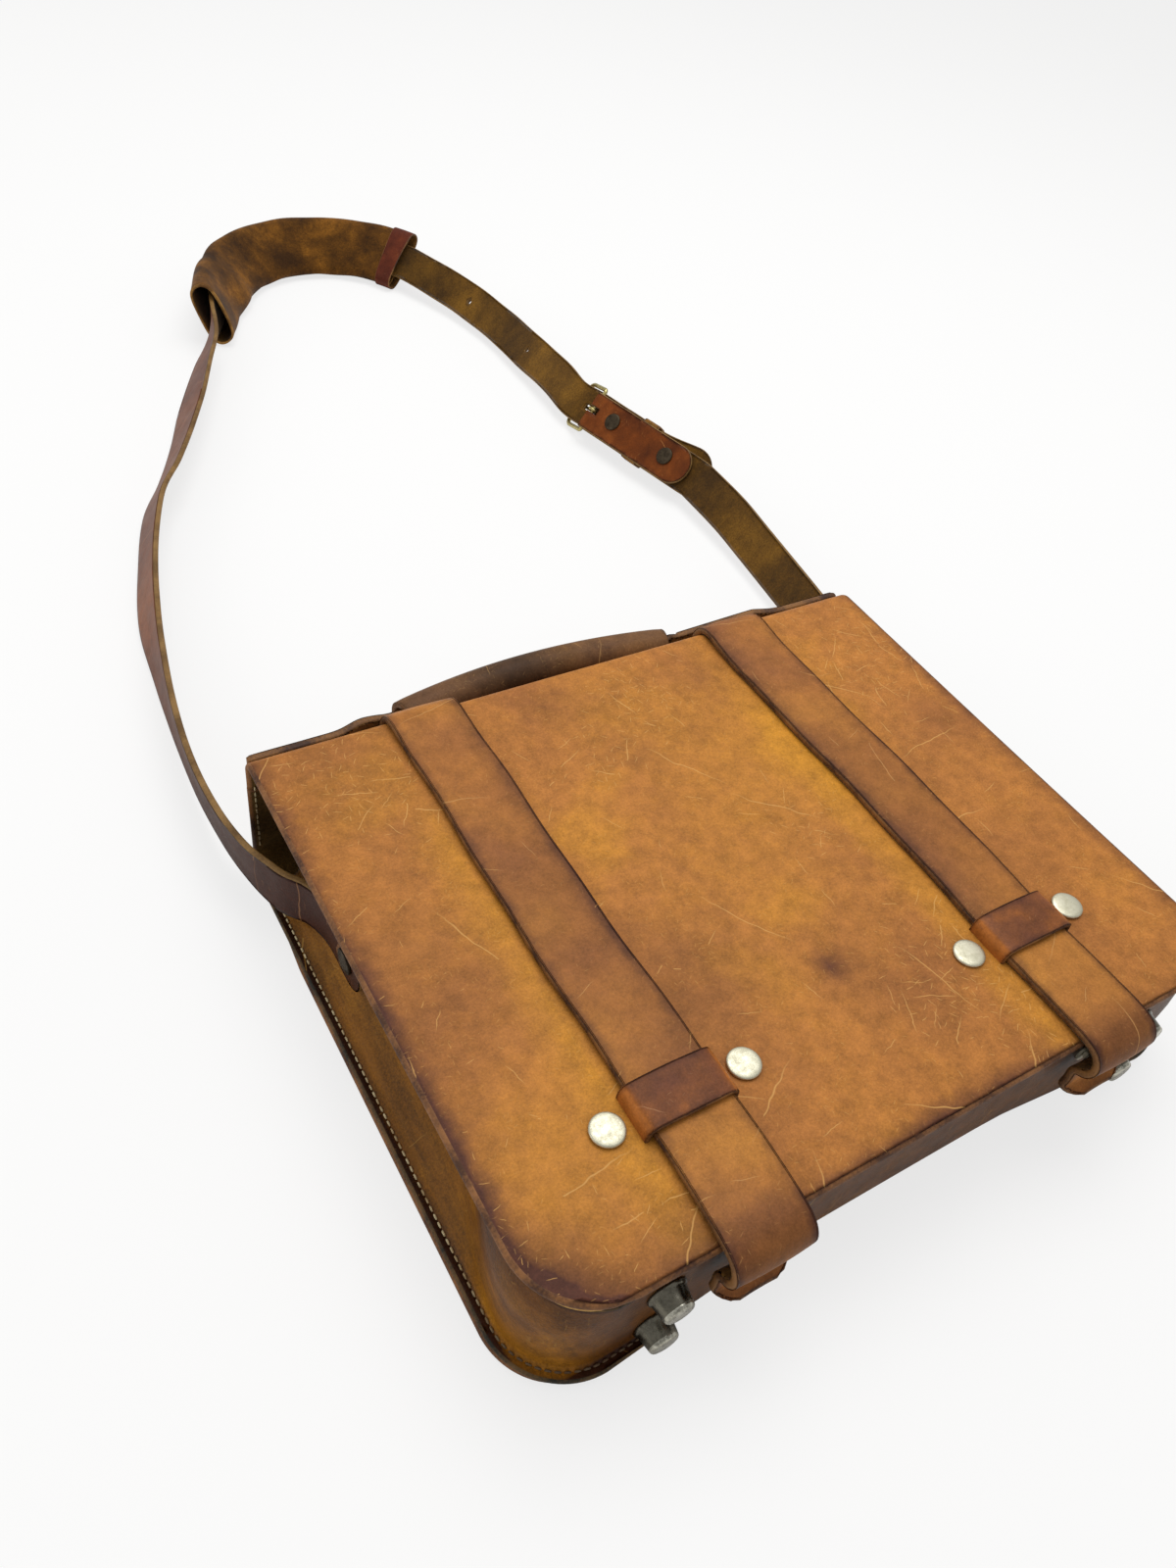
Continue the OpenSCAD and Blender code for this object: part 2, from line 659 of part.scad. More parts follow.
tab_c = tab_x + sling_t / 2;
long_route = concat(
    [from_buckle(-108, over + 8.5), from_buckle(-94, over + 3.4), from_buckle(-78, over + 0.4),
        from_buckle(-60, over), from_buckle(-30, over), from_buckle(0, over),
        from_buckle(26, over)],
    [[199, 520, 18.5, 43], [205, 566, 15.5, 44], [207, 623, 14, 45], [193, 682, 17, 45]],
    [for (a = [pad_a0 - 12:12:pad_a1]) on_pad(a)],
    [on_pad(pad_a1), [-21, 696, 22, 36], [-33, 668, 21.5, 22], [-56, 615, 17, -6],
        [-105, 513, 16, -10], [-154, 429, 16.5, 14], [-175, 370, 16, 2], [-185, 314, 16, -8],
        [-193.5, 238, 17, -8], [-196, 177, 20, -5], [-193, 122, 24, 0],
        [-half_w - 5.8, 96, 27, 0], [-half_w - 3.4, anchor_y + 32, anchor_z - 1, 0],
        [-(tab_c + half_w + 2) / 2, anchor_y + 22, anchor_z, 0], [-tab_c - 0.8, anchor_y + 13, anchor_z, 0],
        [-tab_c, anchor_y + 8, anchor_z, 0], [-tab_c, anchor_y, anchor_z, 0]]);
short_route = concat(
    [[tab_c, anchor_y, anchor_z, 0], [tab_c, anchor_y + 8, anchor_z, 0],
        [tab_c + 0.8, anchor_y + 13, anchor_z, 0],
        [(tab_c + half_w + 2) / 2, anchor_y + 22, anchor_z, 0],
        [half_w + 3.4, anchor_y + 32, anchor_z - 1, 0], [half_w + 6, 96, 27, 3],
        [196, 122, 24, 8], [203, 170, 19.5, 24], [212, 222, 15, 38], [219, 270, 14, 42]],
    [from_buckle(-chape_l - 34, layer - 2), from_buckle(-chape_l - 18, layer - 0.3),
        from_buckle(-chape_l - 6, layer)]);

// Prong slot and adjusting holes
slot_w = prong_d + 1.8;
first_hole = 22;
hole_at = [[buckle_at[0] + 9.3, buckle_at[1] + first_hole + hole_pitch, 15.5],
    [buckle_at[0], buckle_at[1] + first_hole + 2 * hole_pitch, 16.3]];
module anchor_bore(s)
    translate([s * (tab_x - 5), anchor_y, anchor_z]) face_side(s)
        cylinder(d = anchor_d + 2 * run, h = sling_t + 10, $fn = 48);

module long_strap()
    color(flesh_brown) difference() {
        path = smooth(long_route, 3);
        last = len(path) - 1;
        t = heading(path, last);
        skin(concat(round_start(path), strap_rings(path),
            round_end(xyz(path[last]), t, across(t, 0), sling_t)));
        anchor_bore(-1);
        at_buckle() translate([over, 5, 0]) cube([12, 20, slot_w], center = true);
        for (c = hole_at) translate(c) rotate([0, 90 + lean, 2])
            cylinder(d = hole_d, h = 16, center = true, $fn = 24);
    }

// End of the short strap in (outward, along): laid on, round the bar and back on the inner side
wrap_mid = wrap_in + chape_t / 2;
fold_line = concat(
    [[layer, -chape_l + 6], [layer, -60], [layer, -16], [(layer + wrap_mid) / 2 + 0.2, -8]],
    arc_points(0, 0, wrap_mid, -10, 190, 10),
    [[-(layer + wrap_mid) / 2 - 0.2, -8], [-layer, -16], [-layer, -60],
        [-layer, -chape_l + sling_w / 2]]);
bar_dir = cross(buckle_out, buckle_along);
function fold_point(q) = xyz(from_buckle(q[1], q[0]));
function fold_ring(i) =
    let (d = side_of(fold_line, i), t = d[1] * buckle_out - d[0] * buckle_along)
    ring_at(fold_point(fold_line[i]), t, bar_dir, flat_ring(sling_w, chape_t));
strap_rivet_u = [-24, -80];
module short_strap()
    color(chestnut) difference() {
        path = smooth(short_route, 3);
        last = len(fold_line) - 1;
        skin(concat(round_start(path), strap_rings(path), [for (i = [0:last]) fold_ring(i)],
            round_end(fold_point(fold_line[last]), -buckle_along, bar_dir, chape_t)));
        anchor_bore(1);
        at_buckle() {
            cube([20, 16, slot_w + 1.6], center = true);
            for (u = strap_rivet_u) translate([-10, u, 0]) rotate([0, 90, 0])
                cylinder(d = shank_d + 4 * run, h = 20, $fn = 32);
        }
    }

module strap_rivets()
    color(aged_brass) for (u = strap_rivet_u) at_buckle() translate([0, u, 0]) rotate([0, -90, 0]) {
        translate([0, 0, layer + chape_t / 2 + 0.02]) cap(cap_d, 2);
        translate([0, 0, -layer - chape_t / 2 - 0.5])
            cylinder(d = shank_d, h = 2 * layer + chape_t + 1, $fn = 32);
    }

module strap_rivet_washers()
    color(aged_brass) for (u = strap_rivet_u) at_buckle() translate([0, u, 0]) rotate([0, 90, 0])
        translate([0, 0, layer + chape_t / 2 + 0.02])
            washer(9, shank_d + 2 * run, 0.5);

keeper_u = -52;
module strap_keeper()
    color("#c27a48") at_buckle() translate([0, keeper_u, 0]) difference() {
        translate([-keeper_t / 2, -keeper_w / 2, -sling_w / 2 - gap - keeper_t])
            cube([over + sling_t / 2 + gap + 1.5 * keeper_t, keeper_w, sling_w + 2 * (gap + keeper_t)]);
        translate([keeper_t / 2, -keeper_w, -sling_w / 2 - gap])
            cube([over + sling_t / 2 + gap - keeper_t / 2, 2 * keeper_w, sling_w + 2 * gap]);
    }

// ---------- shoulder pad ----------

// Stations of the sleeve: place, lean, outer thickness, wall. It is padded down to the strap
// along its curve, and opens out towards its mouth.
pad_fit = 0.55;
pad_facets = 20;
pad_padded = (pad_t - sling_t) / 2 - pad_fit;
pad_flare = [0, 0.5, 1.4, 2.8];
pad_line = concat(
    [for (i = [0:16])
        concat(on_pad(pad_a0 + (pad_a1 - pad_a0) * i / 16), [pad_t + pad_flare[max(i - 13, 0)], pad_padded])],
    [[-15, 714, 22.5, 38, 19, 3.5], [-25, 693, 23.5, 30, 25, 3], [-33.5, 671, 25, 24, 30, pad_wall]]);
module pad_skin(inside) {
    last = len(pad_line) - 1;
    past = inside ? 1 : 0;
    skin([for (i = [0:last])
        let (q = pad_line[i], t = heading(pad_line, i), wall = inside * q[5],
            e = i == 0 ? -past : i == last ? past : 0)
        [for (v = place_ring(pad_line, i, slot_ring(pad_w - 2 * wall, q[4] - 2 * wall, pad_facets)))
            v + e * t]]);
}
module shoulder_pad()
    color(flesh_brown) difference() {
        pad_skin(0);
        pad_skin(1);
    }

band_deg = pad_band_w / pad_r * 57.3;
module slot_2d(w, t) {
    square([t, w - t], center = true);
    for (e = [-1, 1]) translate([0, e * (w - t) / 2]) circle(d = t, $fn = 48);
}
module pad_band()
    color(chestnut) translate([pad_c[0], pad_c[1], pad_z])
        rotate([0, 0, pad_a0 - 4]) rotate_extrude(angle = band_deg, $fn = 720)
            translate([pad_r, 0]) rotate(-lean - 3) difference() {
                slot_2d(pad_w + 3.4, pad_t + 3.4);
                slot_2d(pad_w + 2 * gap, pad_t + 2 * gap);
            }

// ---------- buckle ----------

frame_in = sling_w / 2 + 1.4;
frame_w = frame_in + bar_r;
far_n = over + sling_t / 2 + 0.4 + bar_r;
frame_len = norm([buckle_l, far_n]);
frame_tilt = atan2(far_n, buckle_l);

// Turned so that local Y runs along the frame and local Z across the strap
module on_frame() at_buckle() rotate([0, 0, -frame_tilt]) children();

module buckle_frame()
    color(pale_brass) on_frame() {
        corner = 5;
        cylinder(r = bar_r, h = 2 * frame_w, center = true, $fn = 32);
        translate([0, frame_len, 0]) cylinder(r = bar_r, h = 2 * (frame_w - corner), center = true, $fn = 32);
        for (e = [-1, 1]) {
            translate([0, 0, e * frame_w]) rotate([-90, 0, 0])
                cylinder(r = bar_r, h = frame_len - corner, $fn = 32);
            translate([0, 0, e * frame_w]) sphere(r = bar_r, $fn = 32);
            translate([0, frame_len - corner, e * (frame_w - corner)]) rotate([0, 90, 0])
                rotate([0, 0, e > 0 ? 90 : 0]) rotate_extrude(angle = 90, $fn = 64)
                    translate([corner, 0]) circle(r = bar_r, $fn = 32);
        }
    }

prong_r = prong_d / 2;
module buckle_prong()
    color(pale_brass) on_frame() {
        difference() {
            cylinder(r = bar_r + run + prong_d, h = slot_w - 0.8, center = true, $fn = 48);
            cylinder(r = bar_r + run, h = slot_w, center = true, $fn = 48);
        }
        rise = bar_r + run + prong_r + 0.02;
        translate([rise, 0, 0]) rotate([-90, 0, 0]) {
            cylinder(r = prong_r, h = frame_len + 2.5, $fn = 32);
            translate([0, 0, frame_len + 2.5]) sphere(r = prong_r, $fn = 32);
        }
    }

back_panel();
gusset();
gusset_hems();
front_panel();
front_panel_hem();
bottom_feet();
foot_washers();
snap_studs();
snap_stud_washers();
anchor_rivets();
anchor_spacers();
anchor_washers();
top_wall();
strap_top_left();
strap_top_right();
handle_end_left();
handle_end_right();
handle_rivets();
handle_rivet_washers();
flap();
closing_strap_left();
closing_strap_right();
keeper_loop_left();
keeper_loop_right();
flap_rivets();
flap_rivet_washers();
strap_tail_left();
strap_tail_right();
snap_cap_left();
snap_cap_right();
handle_grip();
handle_core();
handle_strap_left();
handle_strap_right();
long_strap();
short_strap();
strap_keeper();
strap_rivets();
strap_rivet_washers();
shoulder_pad();
pad_band();
buckle_frame();
buckle_prong();
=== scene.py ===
"""Leather satchel laid on its back, with its shoulder strap spread out above it.

Sizes are in millimetres in the part's own frame: X across the bag, Y towards the handle, Z up.
"""
import functools
import math

import bpy
import numpy as np
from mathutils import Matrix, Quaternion, Vector


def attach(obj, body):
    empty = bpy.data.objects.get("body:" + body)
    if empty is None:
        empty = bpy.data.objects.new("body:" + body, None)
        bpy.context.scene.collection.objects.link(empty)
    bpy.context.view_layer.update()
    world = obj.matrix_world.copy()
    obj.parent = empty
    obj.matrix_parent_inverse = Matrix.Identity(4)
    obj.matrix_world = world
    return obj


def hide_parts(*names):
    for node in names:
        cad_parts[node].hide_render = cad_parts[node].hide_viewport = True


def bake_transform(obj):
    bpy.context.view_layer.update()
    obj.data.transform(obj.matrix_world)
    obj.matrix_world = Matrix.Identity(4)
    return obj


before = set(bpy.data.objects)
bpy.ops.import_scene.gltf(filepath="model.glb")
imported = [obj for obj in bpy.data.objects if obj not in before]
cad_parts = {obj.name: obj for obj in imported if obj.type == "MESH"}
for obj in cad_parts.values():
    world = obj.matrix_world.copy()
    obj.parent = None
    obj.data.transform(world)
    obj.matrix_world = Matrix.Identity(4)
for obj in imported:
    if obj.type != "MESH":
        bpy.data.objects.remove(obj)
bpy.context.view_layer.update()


# ---------------------------------------------------------------- camera, floor and light
# A hand-held wide lens close above the bag's lower left corner, a white paper floor that keeps
# a soft shadow, a large soft lamp overhead, a smaller one at the left and an even white room.

def mm(*point):
    return Vector(point) / 1000


def linear(colour):
    """An sRGB hex colour as linear RGBA."""
    channels = [int(colour[i:i + 2], 16) / 255 for i in (1, 3, 5)]
    return [c / 12.92 if c < 0.04045 else ((c + 0.055) / 1.055) ** 2.4 for c in channels] + [1]


def add(material, kind, *inputs, **settings):
    """Adds a shader node. Its properties are settings, and its inputs are values, colours or what
    feeds them, in the order of its sockets, or one dictionary by their names.

    A node stands for its first output, and a text for an sRGB hex colour.
    """
    tree = material.node_tree
    made = tree.nodes.new("ShaderNode" + kind)
    for key, value in settings.items():
        setattr(made, key, value)
    named = inputs[0] if inputs and isinstance(inputs[0], dict) else dict(enumerate(inputs))
    for key, value in named.items():
        if isinstance(value, bpy.types.Node):
            value = value.outputs[0]
        if isinstance(value, bpy.types.NodeSocket):
            tree.links.new(value, made.inputs[key])
        else:
            made.inputs[key].default_value = linear(value) if isinstance(value, str) else value
    return made


def finished(material, inputs):
    """Ends a material in one surface with these inputs."""
    add(material, "OutputMaterial", {"Surface": add(material, "BsdfPrincipled", inputs)})
    return material


def new_material(name):
    """An empty material, and the function that adds nodes to it."""
    material = bpy.data.materials.new(name)
    material.use_nodes = True
    material.node_tree.nodes.clear()
    return material, functools.partial(add, material)


camera = bpy.data.objects.new("camera", bpy.data.cameras.new("camera"))
bpy.context.scene.collection.objects.link(camera)
camera.data.lens = 27.16
camera.data.clip_start = 0.01
camera.location = mm(-292.7, -245.6, 478.6)
aim = mm(0.5, 123, 0)
camera_roll = math.radians(11.07)
camera.rotation_mode = "QUATERNION"
camera.rotation_quaternion = (
    (aim - camera.location).to_track_quat("-Z", "Y") @ Quaternion((0, 0, 1), camera_roll))
bpy.context.scene.camera = camera

paper, node = new_material("white_paper_floor")
diffuse = node("BsdfDiffuse", {"Color": "#F4F3F1"})
glow = node("Emission", {"Color": (1, 1, 1, 1), "Strength": 1})
seen = node("LightPath")
share = node("Math", seen.outputs["Is Camera Ray"], 0.72, operation="MULTIPLY")
surface = node("MixShader", share, diffuse, glow)
node("OutputMaterial", {"Surface": surface})
floor_mesh = bpy.data.meshes.new("floor")
floor_mesh.from_pydata([(x, y, -0.0003) for x, y in ((-6, -6), (6, -6), (6, 6), (-6, 6))], [], [(0, 1, 2, 3)])
floor = bpy.data.objects.new("floor", floor_mesh)
floor_mesh.materials.append(paper)
bpy.context.scene.collection.objects.link(floor)

room = bpy.data.worlds.new("white_room")
room.use_nodes = True
room.node_tree.nodes["Background"].inputs["Color"].default_value = linear("#FFFFFF")
room.node_tree.nodes["Background"].inputs["Strength"].default_value = 0.54
bpy.context.scene.world = room


def soft_lamp(name, place, target, size, watts):
    lamp = bpy.data.objects.new(name, bpy.data.lights.new(name, "AREA"))
    lamp.data.size = size
    lamp.data.energy = watts
    lamp.location = place
    lamp.rotation_mode = "QUATERNION"
    lamp.rotation_quaternion = (Vector(target) - Vector(place)).to_track_quat("-Z", "Y")
    bpy.context.scene.collection.objects.link(lamp)


soft_lamp("overhead_softbox", (0.35, 0.55, 1.7), (0, 0.1, 0), 1.3, 18)
soft_lamp("window_left", (-1.6, 0.5, 0.9), (0, 0.1, 0), 0.9, 3.5)
bpy.context.scene.view_settings.view_transform = "Standard"


# ---------------------------------------------------------------- cover
# The back panel, top wall and flap are one side of thick vegetable-tanned leather, folded twice
# over the top of the bag. It is waxed and worn: golden where it is sheltered, mauve-brown along
# the handled edges, with a cut, burnished edge all round and pale scratches.

def unit(v):
    return v / np.maximum(np.linalg.norm(v, axis=-1, keepdims=True), 1e-9)


def add_mesh(name, points, faces, part_of=None, fields=None):
    """A smooth-shaded mesh from points in millimetres. part_of gives each face's material slot."""
    mesh = bpy.data.meshes.new(name)
    points = np.asarray(points, float)
    mesh.from_pydata((points / 1000).tolist(), [], [tuple(int(i) for i in f) for f in faces])
    mesh.shade_smooth()
    if part_of is not None:
        mesh.polygons.foreach_set("material_index", np.asarray(part_of, np.int32))
    place = mesh.attributes.new("rest_mm", "FLOAT_VECTOR", "POINT")
    place.data.foreach_set("vector", points.astype(np.float32).ravel())
    for key, values in (fields or {}).items():
        field = mesh.attributes.new(key, "FLOAT", "POINT")
        field.data.foreach_set("value", np.asarray(values, np.float32))
    piece = bpy.data.objects.new(name, mesh)
    bpy.context.scene.collection.objects.link(piece)
    return piece


def leather(name, middle, thickness, edge_r=0.9, paint=None):
    """A sheet of leather round a grid of mid-surface points: grain side, rounded cut edge, flesh side.

    The fields are the distance from the cut edge and the paint function's golden, dark and worn shares.
    """
    rows, columns = middle.shape[:2]
    normal = unit(np.cross(np.gradient(middle, axis=0), np.gradient(middle, axis=1)))
    loop = ([(0, j) for j in range(columns - 1)] + [(i, columns - 1) for i in range(rows - 1)]
            + [(rows - 1, j) for j in range(columns - 1, 0, -1)] + [(i, 0) for i in range(rows - 1, 0, -1)])
    loop_i, loop_j = np.array(loop).T
    rim = middle[loop_i, loop_j]
    rim_n = normal[loop_i, loop_j]
    rim_t = unit(np.roll(rim, -1, 0) - np.roll(rim, 1, 0))
    out = unit(np.cross(rim_n, rim_t))
    half = thickness / 2
    radius = min(edge_r, half)
    pulled = middle.copy()
    pulled[loop_i, loop_j] = rim - out * radius

    def walk(points, axis):
        steps = np.linalg.norm(np.diff(points, axis=axis), axis=-1)
        total = np.concatenate([np.zeros_like(np.take(steps, [0], axis)), np.cumsum(steps, axis)], axis)
        return np.minimum(total, np.take(total, [-1], axis) - total)

    from_edge = np.minimum(walk(middle, 0), walk(middle, 1)).ravel()
    grain = (pulled + normal * half).reshape(-1, 3)
    flesh = (pulled - normal * half).reshape(-1, 3)
    rings = [rim - out * radius * (1 - math.sin(a)) + side * rim_n * (half - radius * (1 - math.cos(a)))
             for side, angles in ((1, (30, 60, 90)), (-1, (90, 60, 30))) for a in np.radians(angles)]
    count = rows * columns
    points = np.concatenate([grain, flesh] + rings)
    index = np.arange(count).reshape(rows, columns)
    quads = np.stack([index[:-1, :-1], index[1:, :-1], index[1:, 1:], index[:-1, 1:]], -1).reshape(-1, 4)
    around = len(loop)
    border = index[loop_i, loop_j]
    loops = ([border] + [2 * count + k * around + np.arange(around) for k in range(len(rings))]
             + [border + count])
    edge_quads = np.concatenate([
        np.stack([a, np.roll(a, -1), np.roll(b, -1), b], -1) for a, b in zip(loops[:-1], loops[1:])])
    faces = np.concatenate([quads, quads[:, ::-1] + count, edge_quads])
    part_of = np.repeat([0, 2, 1], [len(quads), len(quads), len(edge_quads)])
    edge = np.concatenate([from_edge, from_edge, np.zeros(around * len(rings))])
    shares = paint(points) if paint else [np.zeros(len(points))] * 3
    return add_mesh(name, points, faces, part_of,
                    {"edge_mm": edge, **dict(zip(("golden", "dark", "worn"), shares))})


def scratches(node, place, spacing, length, width, chance):
    """Mask of short bent scratches, one at most in each cell of the given spacing."""
    cell = node("TexVoronoi", {"Vector": place, "Scale": 1 / spacing, "Randomness": 1.0})
    chances = node("SeparateColor", cell.outputs["Color"])
    offset = node("VectorMath", place, cell.outputs["Position"], operation="SUBTRACT")
    angle = node("Math", chances, math.tau, operation="MULTIPLY")
    aligned = node("VectorRotate", {"Vector": offset, "Angle": angle}, rotation_type="Z_AXIS")
    ways = node("SeparateXYZ", aligned)
    wander = node("TexNoise", {"Vector": place, "Scale": 2.5 / length, "Detail": 2})
    drift = node("Math", wander, length * 0.16, ways.outputs["Y"], operation="MULTIPLY_ADD")
    centred = node("Math", drift, length * 0.08, operation="SUBTRACT")
    across = node("Math", centred, operation="ABSOLUTE")
    along = node("Math", ways.outputs["X"], operation="ABSOLUTE")
    line = node("MapRange", across, width, width * 0.3)
    ends = node("MapRange", along, length / 2, length / 5)
    there = node("Math", chances.outputs[1], chance, operation="LESS_THAN")
    mark = node("Math", line, ends, operation="MULTIPLY")
    return node("Math", mark, there, operation="MULTIPLY")


def grain_leather(name, main, gold, dull, burn_and_shade, scratch, roughness=0.5, wear=1.0, patch=75,
                  edge_reach=7, gloss=0.12, mottle=0.33, stretch=1.0):
    """Waxed grain leather: soft patches of three tones, darker edges, fine pores, pale scratches."""
    material, node = new_material(name)
    place = node("Attribute", attribute_name="rest_mm").outputs["Vector"]
    edge, golden, dark, worn = (node("Attribute", attribute_name=field).outputs["Fac"]
                                for field in ("edge_mm", "golden", "dark", "worn"))

    drawn = node("Mapping", {"Vector": place, "Scale": (1, stretch, 1)})
    patches = node("TexNoise", {"Vector": place, "Scale": 1 / patch, "Detail": 3, "Roughness": 0.5})
    blotches = node("TexNoise", {"Vector": drawn, "Scale": 1 / 11, "Detail": 5, "Roughness": 0.6})
    to_dull = node("MapRange", patches, 0.46, 0.72)
    colour = node("MixRGB", to_dull, main, dull)
    to_gold = node("MapRange", patches, 0.45, 0.3)
    broken = node("Math", blotches, 0.5, -0.25, operation="MULTIPLY_ADD")
    gold_sum = node("Math", to_gold, 0.55, golden, operation="MULTIPLY_ADD")
    gold_all = node("Math", gold_sum, broken, operation="ADD", use_clamp=True)
    colour = node("MixRGB", gold_all, colour, gold)

    # handled edges burnished dark, with an uneven limit; the paint function's dark share is added too, which
    # on the gusset and round the flap's rivets is painted shade
    ragged = node("Math", blotches, edge_reach * 1.6, edge, operation="MULTIPLY_ADD")
    burning = node("MapRange", ragged, edge_reach * 1.9, edge_reach * 0.55)
    burn_and_shade_all = node("Math", burning, 0.75, dark, operation="MULTIPLY_ADD", use_clamp=True)
    colour = node("MixRGB", burn_and_shade_all, colour, burn_and_shade)

    # fibres and pores: a speckle of about one millimetre over marbling of eight
    speckle = node("TexNoise", {"Vector": place, "Scale": 1 / 1.1, "Detail": 4, "Roughness": 0.85})
    cloudy = node("TexNoise", {"Vector": drawn, "Scale": 1 / 8, "Detail": 7, "Roughness": 0.68})
    both = node("Math", speckle, cloudy, operation="ADD")
    grey = node("MapRange", both, 0.7, 1.3, 1 - mottle * 1.1, 1 + mottle)
    colour = node("MixRGB", 1.0, colour, grey, blend_type="MULTIPLY")

    long_marks = scratches(node, place, 58, 50, 0.42, 0.6 * wear)
    short_marks = scratches(node, place, 19, 13, 0.26, 0.25 * wear)
    scuffs = scratches(node, place, 3.4, 2.8, 0.22, 0.6 * wear)
    rubbed = node("MapRange", blotches, 0.45, 0.62)
    scuffed = node("Math", scuffs, rubbed, operation="MULTIPLY")
    marks = node("Math", long_marks, short_marks, operation="MAXIMUM")
    # scribbled all over where the paint function says so
    for sizes in ((21, 24, 0.34), (5.2, 5, 0.22)):
        marks = node("Math", marks, scratches(node, place, *sizes, worn), operation="MAXIMUM")
    light = node("Math", scuffed, 0.6, marks, operation="MULTIPLY_ADD", use_clamp=True)
    faded = node("Math", light, 0.62, operation="MULTIPLY")
    colour = node("MixRGB", faded, colour, scratch)

    pores = node("TexVoronoi", {"Vector": place, "Scale": 1 / 1.1, "Randomness": 1.0})
    height = node("Math", speckle, 0.8, pores.outputs["Distance"], operation="MULTIPLY_ADD")
    scored = node("Math", light, -0.5, height, operation="MULTIPLY_ADD")
    bump = node("Bump", {"Strength": 0.32, "Distance": 0.00022, "Height": scored})
    rough = node("MapRange", blotches, 0, 1, roughness - 0.1, roughness + 0.14)
    return finished(material, {
        "Base Color": colour, "Roughness": rough, "Normal": bump,
        "IOR": 1.5, "Specular IOR Level": gloss})


def cut_edge_leather(name, dark, light, roughness=0.6):
    """Cut edge of the leather: burnished fibres, darker and lighter along the edge."""
    material, node = new_material(name)
    place = node("Attribute", attribute_name="rest_mm").outputs["Vector"]
    streaks = node("TexNoise", {"Vector": place, "Scale": 1 / 1.3, "Detail": 4, "Roughness": 0.65})
    patches = node("TexNoise", {"Vector": place, "Scale": 1 / 14, "Detail": 2})
    both = node("Math", streaks, 0.6, patches, operation="MULTIPLY_ADD")
    share = node("MapRange", both, 0.62, 0.98)
    colour = node("MixRGB", share, dark, light)
    bump = node("Bump", {"Strength": 0.5, "Distance": 0.0003, "Height": streaks})
    return finished(material, {
        "Base Color": colour, "Roughness": roughness, "Normal": bump,
        "IOR": 1.5, "Specular IOR Level": 0.3})


def flesh_leather(name, dark, main, light, patch=16):
    """Flesh side: matt, napped fibres of one to two millimetres in soft uneven tones."""
    material, node = new_material(name)
    place = node("Attribute", attribute_name="rest_mm").outputs["Vector"]
    nap = node("TexNoise", {"Vector": place, "Scale": 1 / 1.4, "Detail": 5, "Roughness": 0.8})
    patches = node("TexNoise", {"Vector": place, "Scale": 1 / patch, "Detail": 6, "Roughness": 0.66})
    low = node("MapRange", patches, 0.36, 0.52)
    high = node("MapRange", patches, 0.52, 0.68)
    colour = node("MixRGB", low, dark, main)
    colour = node("MixRGB", high, colour, light)
    grey = node("MapRange", nap, 0.28, 0.72, 0.45, 1.5)
    colour = node("MixRGB", 1.0, colour, grey, blend_type="MULTIPLY")
    bump = node("Bump", {"Strength": 0.6, "Distance": 0.0004, "Height": nap})
    return finished(material, {
        "Base Color": colour, "Roughness": 0.85, "Normal": bump, "IOR": 1.45,
        "Specular IOR Level": 0.12, "Sheen Weight": 0.08, "Sheen Roughness": 0.5})


def dress(piece, grain, cut, flesh):
    """Gives a sheet of leather its grain, cut edge and flesh side."""
    for material in (grain, cut, flesh):
        piece.data.materials.append(material)


def spots(points, *places):
    """Sum of soft round spots (strength, x, y, reach), each falling smoothly to 0 at its reach."""
    total = 0.0
    for strength, x, y, reach in places:
        share = np.clip(1 - np.hypot(points[:, 0] - x, points[:, 1] - y) / reach, 0, 1)
        total = total + strength * (share ** 2 * (3 - 2 * share))
    return total


def turn(centre_1, centre_2, radius, start, end, steps):
    """Points on an arc in a plane, angles in degrees from the first axis towards the second."""
    return [(centre_1 + radius * math.cos(a), centre_2 + radius * math.sin(a))
            for a in np.radians(np.linspace(start, end, steps))]


def rounded(far, half, corner):
    """Half width of a sheet this far from its end, where its two corners there are rounded."""
    rise = np.clip(corner - far, 0, corner)
    return half - corner + np.sqrt(corner ** 2 - rise ** 2)


cover_t = 4.0
flap_half_w = 185.0
back_half_w = 190.0
bottom_y = -149.0
fold_y = 141.0
seam_z = 50.0
strap_x = 96.0
strap_w = 38.0
rivet_span = 65.0
rivet_y = -91.0

tan_grain = grain_leather("waxed_saddle_leather", "#B57537", "#C8882D", "#9C6334", "#553226", "#DCA862",
                          edge_reach=9)
tan_cut = cut_edge_leather("burnished_cover_edge", "#4A2D1B", "#8E5F36")
tan_flesh = flesh_leather("cover_flesh_side", "#5C4421", "#6C5027", "#7B5B2D", 28)


def spread(low, high, fine, coarse, ends=12.0):
    """Values from low to high, fine steps within ends of both limits and coarse ones between."""
    edge = max(int(ends / fine), 2)
    middle = max(int((high - low - 2 * ends) / coarse), 2)
    return np.concatenate([np.linspace(low, low + ends, edge, endpoint=False),
                           np.linspace(low + ends, high - ends, middle, endpoint=False),
                           np.linspace(high - ends, high, edge + 1)])


